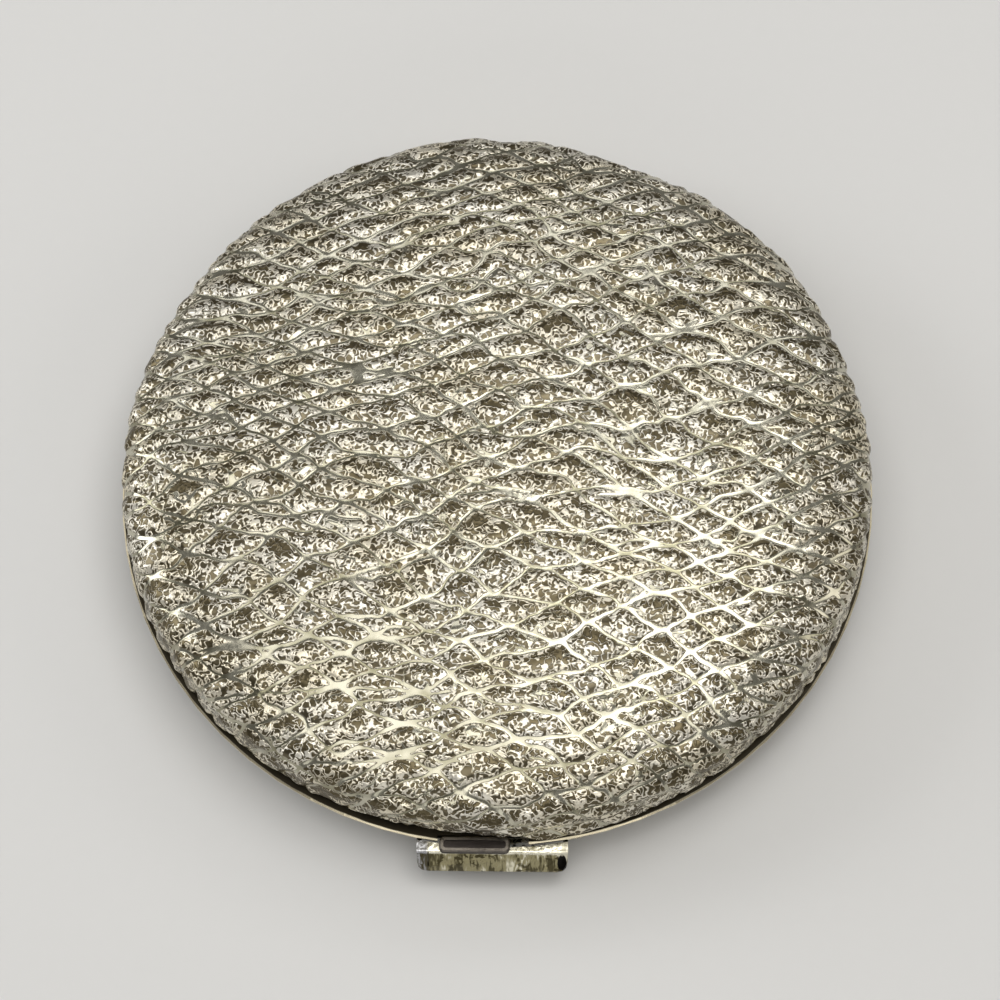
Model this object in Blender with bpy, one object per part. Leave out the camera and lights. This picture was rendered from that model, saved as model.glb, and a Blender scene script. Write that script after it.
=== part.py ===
# Round vanity compact with a domed lid, closed, standing on its flat foot.
# Metres, +Z up. The origin is the middle of the foot, the catch faces -Y and the hinge +Y.
# Every ring is turned about Z, and the names of heights are distances above the foot.
import math

import bmesh
import bpy
from mathutils import Matrix, Vector

# Fits
SEAT_GAP = 0.0002  # between pieces that are soldered, pressed or laid together
RUN_GAP = 0.0002  # between pieces that slide or turn past each other
PIN_GAP = 0.00005  # round the hinge pin, in every knuckle
OVERRUN = 0.003  # how far a cutter reaches past what it cuts
FILLET_STEPS = 3

# Facets
SHELL_SEGMENTS = 64
INNER_SEGMENTS = 48
PIN_SEGMENTS = 12
KNUCKLE_SEGMENTS = 20

# Base shell, a drawn bowl with a flat foot
RIM_RADIUS = 0.0376  # the thin bright edge that shows all round under the lid
FOOT_RADIUS = 0.0300
BOWL_RISE = 0.0031
BASE_HEIGHT = 0.0048
BASE_WALL = 0.0005
RIM_OVERHANG = 0.0007
BOWL_STEPS = 6

# Rim frame, a flat ring with a collar that the lid closes over
FLANGE_THICKNESS = 0.0006
COLLAR_HEIGHT = 0.0016
COLLAR_WALL = 0.0007
COLLAR_GAP = 0.0005
COLLAR_CHAMFER = 0.0002

# Lid shell
LID_SETBACK = 0.0004
LID_WALL = 0.0007
LID_SIDE = 0.0029
LID_DOME_RISE = 0.0059
DOME_POWER = 2.5
DOME_STEPS = 11
SEAM_GAP = 0.0008

# Powder tray and what lies in it
TRAY_LIP_WIDTH = 0.0021
TRAY_WALL = 0.0005
PAN_HEIGHT = 0.0026
PAN_WALL = 0.0004
CAKE_RISE = 0.0002
CAKE_CHAMFER = 0.0004
CAKE_DISH = 0.0003
KEEPER_WIDTH = 0.0022
KEEPER_THICKNESS = 0.0005
KEEPER_NOTCH_RADIUS = 0.0034

# Powder puff
PUFF_MARGIN = 0.0008
PUFF_HEADROOM = 0.0004
PUFF_EDGE_POWER = 3.2
PUFF_STEPS = 6
RIBBON_WIDTH = 0.011
RIBBON_THICKNESS = 0.0002
RIBBON_STEPS = 12
RIBBON_REACH_SHARE = 0.84

# Mirror and its frame
MIRROR_SETBACK = 0.0026
FRAME_THICKNESS = 0.0005
FRAME_WALL = 0.0006
FRAME_BORDER = 0.0048
MIRROR_THICKNESS = 0.0015
BACKING_THICKNESS = 0.0006

# Hinge, three knuckles on one pin
HINGE_LENGTH = 0.0150
LID_KNUCKLE_LENGTH = 0.0050
KNUCKLE_RADIUS = 0.0010
PIN_RADIUS = 0.00045
HINGE_INSET = 0.0002
LEAF_THICKNESS = 0.0006
LEAF_HEIGHT = 0.0016
LEAF_INSET = 0.0003
TAB_THICKNESS = 0.0006
BASE_TAB_THICKNESS = 0.0010
TAB_DROP = 0.0006

# Catch housing, the bar on the front of the base
HOUSING_WIDTH = 0.0146
HOUSING_PROUD = 0.0018
HOUSING_DROP = 0.0003
HOUSING_HEIGHT = 0.0028
HOUSING_WALL = 0.00045
HOUSING_CORNER = 0.0011
HOUSING_LIP = 0.0002
HOUSING_SHOULDER = 0.0005
HOUSING_CHAMFER = 0.0003

# Slide, the dark thumb piece with its bolt and spring
SLIDE_WIDTH = 0.0068
SLIDE_DEPTH = 0.0016
SLIDE_THICKNESS = 0.0006
SLIDE_PROUD = 0.0009
SLIDE_OFFSET = -0.0017
SLIDE_TRAVEL = 0.0016
SLIDE_CORNER = 0.0005
SLIDE_EDGE = 0.00015
RECESS_BORDER = 0.0004
RECESS_DEPTH = 0.00025
NECK_WIDTH = 0.0030
NECK_DEPTH = 0.0006
NECK_LENGTH = 0.0007
STUB_RADIUS = 0.00025
STUB_HEAD_RADIUS = 0.0004
STUB_HEAD_THICKNESS = 0.0003
BOLT_THICKNESS = 0.0006
BOLT_LENGTH = 0.0052
BOLT_DEPTH = 0.0008
NOSE_WIDTH = 0.0018
NOSE_REACH = 0.0010
NOSE_LENGTH = 0.0020
SPRING_TURNS = 6
SPRING_RADIUS = 0.00030
SPRING_WIRE = 0.00010
SPRING_POINTS = 10

# Lid tongue, the hooked plate that the bolt holds
TONGUE_WIDTH = 0.0040
TONGUE_HOOK = 0.0006

# Radii, worked in from the rim
BASE_RADIUS = RIM_RADIUS - RIM_OVERHANG
LID_RADIUS = RIM_RADIUS - LID_SETBACK
PLATE_OUTER = min(LID_RADIUS - LID_WALL, BASE_RADIUS - BASE_WALL) - SEAT_GAP
PLATE_INNER = PLATE_OUTER - LEAF_THICKNESS
COLLAR_OUTER = PLATE_INNER - COLLAR_GAP
COLLAR_INNER = COLLAR_OUTER - COLLAR_WALL
TRAY_LIP_OUTER = COLLAR_INNER - SEAT_GAP
TRAY_OUTER = TRAY_LIP_OUTER - TRAY_LIP_WIDTH
TRAY_INNER = TRAY_OUTER - TRAY_WALL
PAN_OUTER = TRAY_INNER - SEAT_GAP
PAN_INNER = PAN_OUTER - PAN_WALL
CAKE_RADIUS = PAN_INNER - SEAT_GAP
KEEPER_OUTER = TRAY_INNER - SEAT_GAP
KEEPER_INNER = KEEPER_OUTER - KEEPER_WIDTH
PUFF_RADIUS = KEEPER_INNER - PUFF_MARGIN
FRAME_OUTER = PLATE_INNER - SEAT_GAP
MIRROR_RADIUS = FRAME_OUTER - FRAME_WALL - SEAT_GAP
HINGE_Y = LID_RADIUS - HINGE_INSET

# Heights, worked up from the foot
FLANGE_LOW = BASE_HEIGHT + SEAT_GAP
SEAM_HEIGHT = FLANGE_LOW + FLANGE_THICKNESS
LID_LOW = SEAM_HEIGHT + SEAM_GAP
LID_SHOULDER = LID_LOW + LID_SIDE
COLLAR_TOP = SEAM_HEIGHT + COLLAR_HEIGHT
TRAY_REACH_SHARE = max(TRAY_OUTER - FOOT_RADIUS, 0) / (BASE_RADIUS - BASE_WALL - FOOT_RADIUS)
BOWL_AT_TRAY = BOWL_RISE - (BOWL_RISE - BASE_WALL) * math.sqrt(1 - TRAY_REACH_SHARE**2)
TRAY_FLOOR_LOW = BOWL_AT_TRAY + SEAT_GAP
TRAY_FLOOR = TRAY_FLOOR_LOW + TRAY_WALL
TRAY_LIP_LOW = SEAM_HEIGHT + SEAT_GAP
PAN_LOW = TRAY_FLOOR + SEAT_GAP
PAN_TOP = PAN_LOW + PAN_HEIGHT
CAKE_LOW = PAN_LOW + PAN_WALL + SEAT_GAP
CAKE_TOP = PAN_TOP + CAKE_RISE
KEEPER_LOW = CAKE_TOP + SEAT_GAP
FRAME_LOW = LID_LOW + MIRROR_SETBACK
MIRROR_LOW = FRAME_LOW + FRAME_THICKNESS + SEAT_GAP
MIRROR_TOP = MIRROR_LOW + MIRROR_THICKNESS
PUFF_LOW = CAKE_TOP + SEAT_GAP
PUFF_TOP = MIRROR_LOW - PUFF_HEADROOM - RIBBON_THICKNESS - SEAT_GAP
BACKING_LOW = MIRROR_TOP + SEAT_GAP
BACKING_TOP = BACKING_LOW + BACKING_THICKNESS
HINGE_HEIGHT = SEAM_HEIGHT + SEAM_GAP / 2
KNUCKLE_CLEAR = KNUCKLE_RADIUS + RUN_GAP
BASE_TAB_LOW = HINGE_HEIGHT - KNUCKLE_RADIUS - TAB_DROP
HOUSING_TOP = SEAM_HEIGHT - HOUSING_DROP
HOUSING_LOW = HOUSING_TOP - HOUSING_HEIGHT
HOUSING_EDGE = HOUSING_LOW + HOUSING_CHAMFER + HOUSING_LIP
SLIDE_LOW = HOUSING_TOP + RUN_GAP
BOLT_TOP = SLIDE_LOW - NECK_LENGTH - SEAT_GAP
BOLT_LOW = BOLT_TOP - BOLT_THICKNESS

# Places of the catch along X, and its depths in front of the middle
HOUSING_FRONT = RIM_RADIUS + HOUSING_PROUD
HOUSING_BACK = RIM_RADIUS + SEAT_GAP
SLIDE_FRONT = RIM_RADIUS + SLIDE_PROUD
SLIDE_BACK = SLIDE_FRONT - SLIDE_DEPTH
SLIDE_LEFT = SLIDE_OFFSET - SLIDE_WIDTH / 2
SLIDE_RIGHT = SLIDE_OFFSET + SLIDE_WIDTH / 2
WINDOW_LEFT = SLIDE_LEFT - RUN_GAP
WINDOW_RIGHT = SLIDE_RIGHT + SLIDE_TRAVEL + RUN_GAP
BOLT_BACK = BASE_RADIUS + RUN_GAP
BOLT_LEFT = SLIDE_OFFSET - BOLT_LENGTH / 2
BOLT_RIGHT = BOLT_LEFT + BOLT_LENGTH
STUB_DEPTH = -BOLT_BACK - BOLT_DEPTH / 2
NOSE_LEFT = BOLT_LEFT + RUN_GAP
NOSE_RIGHT = NOSE_LEFT + NOSE_WIDTH
TONGUE_RIGHT = NOSE_LEFT + NOSE_REACH
TONGUE_LEFT = TONGUE_RIGHT - TONGUE_WIDTH
TONGUE_LOW = BOLT_LOW - RUN_GAP - TONGUE_HOOK


def clear_scene():
    for obj in list(bpy.data.objects):
        bpy.data.objects.remove(obj, do_unlink=True)


def finish_material(name, colour, roughness, metallic):
    """A Principled material, made once and shared by the pieces of that finish."""
    material = bpy.data.materials.get(name)
    if material is None:
        material = bpy.data.materials.new(name)
        material.use_nodes = True
        shader = material.node_tree.nodes["Principled BSDF"]
        shader.inputs["Base Color"].default_value = (*colour, 1.0)
        shader.inputs["Roughness"].default_value = roughness
        shader.inputs["Metallic"].default_value = metallic
    return material


def pale_gilt():
    return finish_material("pale_gilt", (0.76, 0.71, 0.55), 0.30, 1.0)


def bright_gilt():
    return finish_material("bright_gilt", (0.83, 0.73, 0.48), 0.18, 1.0)


def worn_brass():
    return finish_material("worn_brass", (0.66, 0.58, 0.34), 0.32, 1.0)


def dark_metal():
    return finish_material("dark_metal", (0.10, 0.09, 0.08), 0.38, 1.0)


def spring_steel():
    return finish_material("spring_steel", (0.56, 0.57, 0.58), 0.28, 1.0)


def pan_tin():
    return finish_material("pan_tin", (0.72, 0.72, 0.73), 0.40, 1.0)


def face_powder():
    return finish_material("face_powder", (0.80, 0.60, 0.47), 0.95, 0.0)


def silvered_glass():
    return finish_material("silvered_glass", (0.90, 0.92, 0.92), 0.02, 1.0)


def felt_board():
    return finish_material("felt_board", (0.22, 0.19, 0.17), 0.95, 0.0)


def puff_velour():
    return finish_material("puff_velour", (0.86, 0.72, 0.62), 0.95, 0.0)


def puff_satin():
    return finish_material("puff_satin", (0.80, 0.62, 0.52), 0.45, 0.0)


def place(name, mesh_data, material):
    """Links a finished bmesh as an object at the origin, with its place in its mesh."""
    mesh = bpy.data.meshes.new(name)
    bmesh.ops.recalc_face_normals(mesh_data, faces=mesh_data.faces)
    mesh_data.to_mesh(mesh)
    mesh_data.free()
    obj = bpy.data.objects.new(name, mesh)
    bpy.context.collection.objects.link(obj)
    if material is None:
        obj.hide_render = True
        obj.display_type = "WIRE"
    else:
        mesh.materials.append(material)
        mesh.shade_smooth()
        mesh.set_sharp_from_angle(angle=math.radians(30))
    return obj


def turned(name, outline, material=None, segments=SHELL_SEGMENTS):
    """Spins an outline of (radius, height) points, which may start and end on the axis, about Z."""
    shape = bmesh.new()
    verts = [shape.verts.new((radius, 0, height)) for radius, height in outline]
    edges = [shape.edges.new(pair) for pair in zip(verts, verts[1:])]
    if outline[0][0] > 0:
        edges.append(shape.edges.new((verts[-1], verts[0])))
    bmesh.ops.spin(shape, geom=verts + edges, cent=(0, 0, 0), axis=(0, 0, 1),
                   angle=2 * math.pi, steps=segments, use_merge=True)
    bmesh.ops.remove_doubles(shape, verts=shape.verts, dist=PIN_GAP / 100)
    return place(name, shape, material)


def block(name, x, y, z, material=None, corner=0, edge=0):
    """A box between pairs of limits, its upright edges rounded by corner and its top edges by edge."""
    shape = bmesh.new()
    size = Vector((x[1] - x[0], y[1] - y[0], z[1] - z[0]))
    middle = Vector((sum(x) / 2, sum(y) / 2, sum(z) / 2))
    matrix = Matrix.Translation(middle) @ Matrix.Diagonal((*size, 1))
    bmesh.ops.create_cube(shape, size=1, matrix=matrix)
    if corner:
        upright = [e for e in shape.edges if abs(e.verts[0].co.z - e.verts[1].co.z) > size.z / 2]
        bmesh.ops.bevel(shape, geom=upright, offset=corner, affect="EDGES",
                        segments=FILLET_STEPS, profile=0.5, material=-1)
    if edge:
        top = [e for e in shape.edges if min(v.co.z for v in e.verts) > middle.z]
        bmesh.ops.bevel(shape, geom=top, offset=edge, affect="EDGES",
                        segments=1, profile=0.5, material=-1)
    return place(name, shape, material)


def rod(name, radius, start, end, material=None, segments=KNUCKLE_SEGMENTS):
    """A round bar between two points."""
    shape = bmesh.new()
    start, end = Vector(start), Vector(end)
    turn = (end - start).to_track_quat("Z", "Y").to_matrix().to_4x4()
    matrix = Matrix.Translation((start + end) / 2) @ turn
    bmesh.ops.create_cone(shape, cap_ends=True, segments=segments, radius1=radius,
                          radius2=radius, depth=(end - start).length, matrix=matrix)
    return place(name, shape, material)


def extruded(name, outline, left, right, material=None):
    """A bar along X between two ends, whose section is a list of (depth, height) points."""
    shape = bmesh.new()
    face = shape.faces.new([shape.verts.new((left, y, z)) for y, z in outline])
    made = bmesh.ops.extrude_face_region(shape, geom=[face])
    moved = [item for item in made["geom"] if isinstance(item, bmesh.types.BMVert)]
    bmesh.ops.translate(shape, verts=moved, vec=(right - left, 0, 0))
    return place(name, shape, material)


def combine(target, operation, *others):
    """Adds one exact Boolean per other shape. The others become helpers that aren't pieces."""
    for other in others:
        other.hide_render = True
        other.display_type = "WIRE"
        modifier = target.modifiers.new(other.name, "BOOLEAN")
        modifier.operation = operation
        modifier.solver = "EXACT"
        modifier.object = other
    return target


def ring_outline(inner, outer, low, high):
    return [(inner, low), (outer, low), (outer, high), (inner, high)]


def dome_outline(radius, shoulder, rise):
    """Superellipse from the shoulder in to the crown, as (radius, height) points."""
    points = []
    for step in range(DOME_STEPS + 1):
        angle = math.pi / 2 * step / DOME_STEPS
        across = radius * math.cos(angle) ** (2 / DOME_POWER) if step < DOME_STEPS else 0.0
        points.append((across, shoulder + rise * math.sin(angle) ** (2 / DOME_POWER)))
    return points


def dome_inside_height(radius):
    """Height of the lid's inner face at a radius."""
    share = min(radius / (LID_RADIUS - LID_WALL), 1.0)
    rise = (LID_DOME_RISE - LID_WALL) * (1 - share**DOME_POWER) ** (1 / DOME_POWER)
    return LID_SHOULDER + rise


def dome_inside_radius(height):
    """Radius of the lid's inner face at a height."""
    share = max(height - LID_SHOULDER, 0.0) / (LID_DOME_RISE - LID_WALL)
    return (LID_RADIUS - LID_WALL) * (1 - share**DOME_POWER) ** (1 / DOME_POWER)


def bowl_outline(radius, floor):
    """Quarter ellipse from the foot out and up to the straight wall."""
    points = []
    for step in range(BOWL_STEPS + 1):
        angle = math.pi / 2 * step / BOWL_STEPS
        across = FOOT_RADIUS + (radius - FOOT_RADIUS) * math.sin(angle)
        points.append((across, BOWL_RISE - (BOWL_RISE - floor) * math.cos(angle)))
    return points


def hinge_half():
    """Half the length of the gap that lid and base leave for the hinge."""
    return HINGE_LENGTH / 2 + RUN_GAP


def base_shell():
    outside = bowl_outline(BASE_RADIUS, 0.0)
    inside = bowl_outline(BASE_RADIUS - BASE_WALL, BASE_WALL)
    outline = [(0.0, 0.0), *outside, (BASE_RADIUS, BASE_HEIGHT)]
    outline += [(BASE_RADIUS - BASE_WALL, BASE_HEIGHT), *reversed(inside), (0.0, BASE_WALL)]
    shell = turned("base_shell", outline, pale_gilt())
    hinge_room = block("base_hinge_room", (-hinge_half(), hinge_half()),
                       (COLLAR_INNER, RIM_RADIUS + OVERRUN),
                       (BASE_TAB_LOW - SEAT_GAP, BASE_HEIGHT + OVERRUN))
    nose_room = block("base_nose_room",
                      (NOSE_LEFT - RUN_GAP, NOSE_RIGHT + SLIDE_TRAVEL + RUN_GAP),
                      (-BASE_RADIUS - OVERRUN, -PLATE_INNER),
                      (BOLT_LOW - RUN_GAP, BASE_HEIGHT + OVERRUN))
    return combine(shell, "DIFFERENCE", hinge_room, nose_room)


def rim_frame():
    inner = TRAY_OUTER + SEAT_GAP
    outline = [
        (inner, FLANGE_LOW),
        (RIM_RADIUS - COLLAR_CHAMFER, FLANGE_LOW),
        (RIM_RADIUS, FLANGE_LOW + COLLAR_CHAMFER),
        (RIM_RADIUS, SEAM_HEIGHT - COLLAR_CHAMFER),
        (RIM_RADIUS - COLLAR_CHAMFER, SEAM_HEIGHT),
        (COLLAR_OUTER, SEAM_HEIGHT),
        (COLLAR_OUTER, COLLAR_TOP - COLLAR_CHAMFER),
        (COLLAR_OUTER - COLLAR_CHAMFER, COLLAR_TOP),
        (COLLAR_INNER + COLLAR_CHAMFER, COLLAR_TOP),
        (COLLAR_INNER, COLLAR_TOP - COLLAR_CHAMFER),
        (COLLAR_INNER, SEAM_HEIGHT),
        (inner, SEAM_HEIGHT),
    ]
    frame = turned("rim_frame", outline, bright_gilt())
    above = (FLANGE_LOW - OVERRUN, COLLAR_TOP + OVERRUN)
    hinge_room = block("frame_hinge_room", (-hinge_half(), hinge_half()),
                       (PLATE_INNER - SEAT_GAP, RIM_RADIUS + OVERRUN), above)
    slide_room = block("frame_slide_room", (WINDOW_LEFT, WINDOW_RIGHT),
                       (-RIM_RADIUS - OVERRUN, -SLIDE_BACK + RUN_GAP), above)
    tongue_ring = turned("frame_tongue_ring",
                         ring_outline(PLATE_INNER - RUN_GAP, PLATE_OUTER + RUN_GAP, *above))
    tongue_room = block("frame_tongue_room",
                        (TONGUE_LEFT - RUN_GAP, TONGUE_RIGHT + RUN_GAP),
                        (-RIM_RADIUS - OVERRUN, 0), (above[0] - OVERRUN, above[1] + OVERRUN))
    tongue_slot = combine(tongue_ring, "INTERSECT", tongue_room)
    return combine(frame, "DIFFERENCE", hinge_room, slide_room, tongue_slot)


def powder_tray():
    lip_top = TRAY_LIP_LOW + TRAY_WALL
    outline = [
        (0.0, TRAY_FLOOR_LOW),
        (TRAY_OUTER, TRAY_FLOOR_LOW),
        (TRAY_OUTER, TRAY_LIP_LOW),
        (TRAY_LIP_OUTER, TRAY_LIP_LOW),
        (TRAY_LIP_OUTER, lip_top),
        (TRAY_INNER, lip_top),
        (TRAY_INNER, TRAY_FLOOR),
        (0.0, TRAY_FLOOR),
    ]
    return turned("powder_tray", outline, bright_gilt())


def powder_pan():
    outline = [
        (0.0, PAN_LOW),
        (PAN_OUTER, PAN_LOW),
        (PAN_OUTER, PAN_TOP),
        (PAN_INNER, PAN_TOP),
        (PAN_INNER, PAN_LOW + PAN_WALL),
        (0.0, PAN_LOW + PAN_WALL),
    ]
    return turned("powder_pan", outline, pan_tin(), INNER_SEGMENTS)


def powder_cake():
    """Pressed powder, worn into a shallow dish in the middle."""
    outline = [
        (0.0, CAKE_LOW),
        (CAKE_RADIUS, CAKE_LOW),
        (CAKE_RADIUS, CAKE_TOP - CAKE_CHAMFER),
        (CAKE_RADIUS - CAKE_CHAMFER, CAKE_TOP),
        (CAKE_RADIUS / 2, CAKE_TOP - CAKE_DISH / 2),
        (0.0, CAKE_TOP - CAKE_DISH),
    ]
    return turned("powder_cake", outline, face_powder(), INNER_SEGMENTS)


def pan_keeper():
    """Flat ring that holds the pan down, with a fingertip notch at the front."""
    outline = ring_outline(KEEPER_INNER, KEEPER_OUTER, KEEPER_LOW, KEEPER_LOW + KEEPER_THICKNESS)
    keeper = turned("pan_keeper", outline, bright_gilt(), INNER_SEGMENTS)
    middle = KEEPER_INNER - KEEPER_NOTCH_RADIUS / 2
    notch = rod("keeper_notch", KEEPER_NOTCH_RADIUS / 2 + KEEPER_WIDTH / 2,
                (0, -middle, KEEPER_LOW - OVERRUN), (0, -middle, KEEPER_LOW + OVERRUN))
    return combine(keeper, "DIFFERENCE", notch)


def puff_height(radius, low, high):
    """Height of the puff's crown at a radius."""
    share = min(radius / PUFF_RADIUS, 1.0)
    return low + (high - low) * (1 - share**PUFF_EDGE_POWER) ** (1 / PUFF_EDGE_POWER)


def puff_pad():
    """A padded disc, widest at mid height and crowned above and below."""
    middle = (PUFF_LOW + PUFF_TOP) / 2
    radii = [PUFF_RADIUS * math.sin(math.pi / 2 * step / PUFF_STEPS) for step in range(PUFF_STEPS + 1)]
    below = [(radius, puff_height(radius, middle, PUFF_LOW)) for radius in radii]
    above = [(radius, puff_height(radius, middle, PUFF_TOP)) for radius in radii[:-1]]
    return turned("puff_pad", below + above[::-1], puff_velour(), INNER_SEGMENTS)


def puff_ribbon():
    """Satin band that the fingers go under, laid over the crown from side to side."""
    middle = (PUFF_LOW + PUFF_TOP) / 2
    reach = PUFF_RADIUS * RIBBON_REACH_SHARE
    under = []
    for step in range(RIBBON_STEPS + 1):
        x = reach * (2 * step / RIBBON_STEPS - 1)
        under.append((x, puff_height(abs(x), middle, PUFF_TOP) + SEAT_GAP))
    over = [(x, z + RIBBON_THICKNESS) for x, z in reversed(under)]
    ribbon = extruded("puff_ribbon", under + over, -RIBBON_WIDTH / 2, RIBBON_WIDTH / 2, puff_satin())
    ribbon.data.transform(Matrix.Rotation(math.pi / 2, 4, "Z"))
    return ribbon


def lid_shell():
    inner_radius = LID_RADIUS - LID_WALL
    outside = dome_outline(LID_RADIUS, LID_SHOULDER, LID_DOME_RISE)
    inside = dome_outline(inner_radius, LID_SHOULDER, LID_DOME_RISE - LID_WALL)
    outline = [*reversed(inside), (inner_radius, LID_LOW), (LID_RADIUS, LID_LOW), *outside]
    shell = turned("lid_shell", outline, pale_gilt())
    hinge_room = block("lid_hinge_room", (-hinge_half(), hinge_half()),
                       (COLLAR_INNER, LID_RADIUS + OVERRUN),
                       (LID_LOW - OVERRUN, HINGE_HEIGHT + KNUCKLE_CLEAR))
    return combine(shell, "DIFFERENCE", hinge_room)


def mirror_frame():
    """Bright ring that carries the mirror and seats against the inside of the dome."""
    top = dome_inside_height(FRAME_OUTER + SEAT_GAP)
    outline = [
        (FRAME_OUTER - FRAME_BORDER, FRAME_LOW),
        (FRAME_OUTER, FRAME_LOW),
        (FRAME_OUTER, top),
        (FRAME_OUTER - FRAME_WALL, top),
        (FRAME_OUTER - FRAME_WALL, FRAME_LOW + FRAME_THICKNESS),
        (FRAME_OUTER - FRAME_BORDER, FRAME_LOW + FRAME_THICKNESS),
    ]
    return turned("mirror_frame", outline, bright_gilt())


def mirror():
    outline = [(0.0, MIRROR_LOW), (MIRROR_RADIUS, MIRROR_LOW), (MIRROR_RADIUS, MIRROR_TOP),
               (0.0, MIRROR_TOP)]
    return turned("mirror", outline, silvered_glass())


def mirror_backing():
    """Felt-faced board that presses the mirror on its frame, trimmed to the dome."""
    radius = min(dome_inside_radius(BACKING_TOP + SEAT_GAP) - SEAT_GAP, MIRROR_RADIUS)
    outline = [(0.0, BACKING_LOW), (radius, BACKING_LOW), (radius, BACKING_TOP), (0.0, BACKING_TOP)]
    return turned("mirror_backing", outline, felt_board(), INNER_SEGMENTS)


def wall_plate(name, x, low, high, at_front, material=None):
    """A plate bent to the round wall, cut from a ring between two limits of X."""
    plate = turned(name, ring_outline(PLATE_INNER, PLATE_OUTER, low, high), material)
    y = (-RIM_RADIUS, 0) if at_front else (0, RIM_RADIUS)
    keep = block(name + "_limits", x, y, (low - OVERRUN, high + OVERRUN))
    return combine(plate, "INTERSECT", keep)


def knuckle(name, left, right):
    return rod(name, KNUCKLE_RADIUS, (left, HINGE_Y, HINGE_HEIGHT), (right, HINGE_Y, HINGE_HEIGHT))


def pin_bore(name):
    reach = HINGE_LENGTH / 2 + OVERRUN
    return rod(name, PIN_RADIUS + PIN_GAP, (-reach, HINGE_Y, HINGE_HEIGHT),
               (reach, HINGE_Y, HINGE_HEIGHT), segments=PIN_SEGMENTS)


def hinge_leaf_half():
    return HINGE_LENGTH / 2 - LEAF_INSET


def base_hinge():
    """Leaf inside the base wall, under the flange, with a tab out to the two outer knuckles."""
    half = hinge_leaf_half()
    top = FLANGE_LOW - SEAT_GAP
    leaf = wall_plate("base_hinge", (-half, half), top - LEAF_HEIGHT, top, False, bright_gilt())
    tab = block("base_hinge_tab", (-half, half), (PLATE_INNER, HINGE_Y),
                (BASE_TAB_LOW, BASE_TAB_LOW + BASE_TAB_THICKNESS))
    inner = LID_KNUCKLE_LENGTH / 2 + RUN_GAP
    right = knuckle("base_knuckle_right", inner, HINGE_LENGTH / 2)
    left = knuckle("base_knuckle_left", -HINGE_LENGTH / 2, -inner)
    lid_knuckle_room = rod("base_knuckle_room", KNUCKLE_CLEAR, (-inner, HINGE_Y, HINGE_HEIGHT),
                           (inner, HINGE_Y, HINGE_HEIGHT))
    combine(leaf, "UNION", tab)
    combine(leaf, "DIFFERENCE", lid_knuckle_room)
    combine(leaf, "UNION", right, left)
    return combine(leaf, "DIFFERENCE", pin_bore("base_pin_bore"))


def lid_hinge():
    """Leaf inside the lid wall, with the middle knuckle."""
    half = hinge_leaf_half()
    low = HINGE_HEIGHT + KNUCKLE_CLEAR
    high = LID_SHOULDER + SEAT_GAP
    leaf = wall_plate("lid_hinge", (-half, half), low + RUN_GAP, high, False, bright_gilt())
    knuckle_half = LID_KNUCKLE_LENGTH / 2
    neck = block("lid_hinge_neck", (-knuckle_half, knuckle_half),
                 (PLATE_INNER + SEAT_GAP, PLATE_OUTER - SEAT_GAP / 2),
                 (HINGE_HEIGHT + KNUCKLE_RADIUS / 4, (low + high) / 2))
    tab = block("lid_hinge_tab", (-knuckle_half, knuckle_half),
                (PLATE_INNER + LEAF_THICKNESS / 2, HINGE_Y),
                (HINGE_HEIGHT + KNUCKLE_RADIUS - TAB_THICKNESS, HINGE_HEIGHT + KNUCKLE_RADIUS))
    middle = knuckle("lid_knuckle", -knuckle_half, knuckle_half)
    combine(leaf, "UNION", neck, tab, middle)
    return combine(leaf, "DIFFERENCE", pin_bore("lid_pin_bore"))


def hinge_pin():
    half = HINGE_LENGTH / 2
    return rod("hinge_pin", PIN_RADIUS, (-half, HINGE_Y, HINGE_HEIGHT),
               (half, HINGE_Y, HINGE_HEIGHT), spring_steel(), PIN_SEGMENTS)


def slope_depth(height, wall=0.0):
    """Depth of the housing's sloping face at a height, drawn in by a wall."""
    start = HOUSING_BACK + HOUSING_SHOULDER
    run = HOUSING_FRONT - start
    drop = HOUSING_TOP - HOUSING_EDGE
    return wall * math.hypot(run, drop) / drop - start - run * (HOUSING_TOP - height) / drop


def housing_section():
    """Section of the housing as (depth, height) points."""
    return [
        (-PLATE_INNER, HOUSING_LOW),
        (HOUSING_CHAMFER - HOUSING_FRONT, HOUSING_LOW),
        (-HOUSING_FRONT, HOUSING_LOW + HOUSING_CHAMFER),
        (-HOUSING_FRONT, HOUSING_EDGE),
        (slope_depth(HOUSING_TOP), HOUSING_TOP),
        (-PLATE_INNER, HOUSING_TOP),
    ]


def cavity_section():
    """Section of the room inside the housing as (depth, height) points."""
    low, high = HOUSING_LOW + HOUSING_WALL, HOUSING_TOP - HOUSING_WALL
    return [
        (-PLATE_INNER, low),
        (slope_depth(low, HOUSING_WALL), low),
        (slope_depth(high, HOUSING_WALL), high),
        (-PLATE_INNER, high),
    ]


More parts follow.
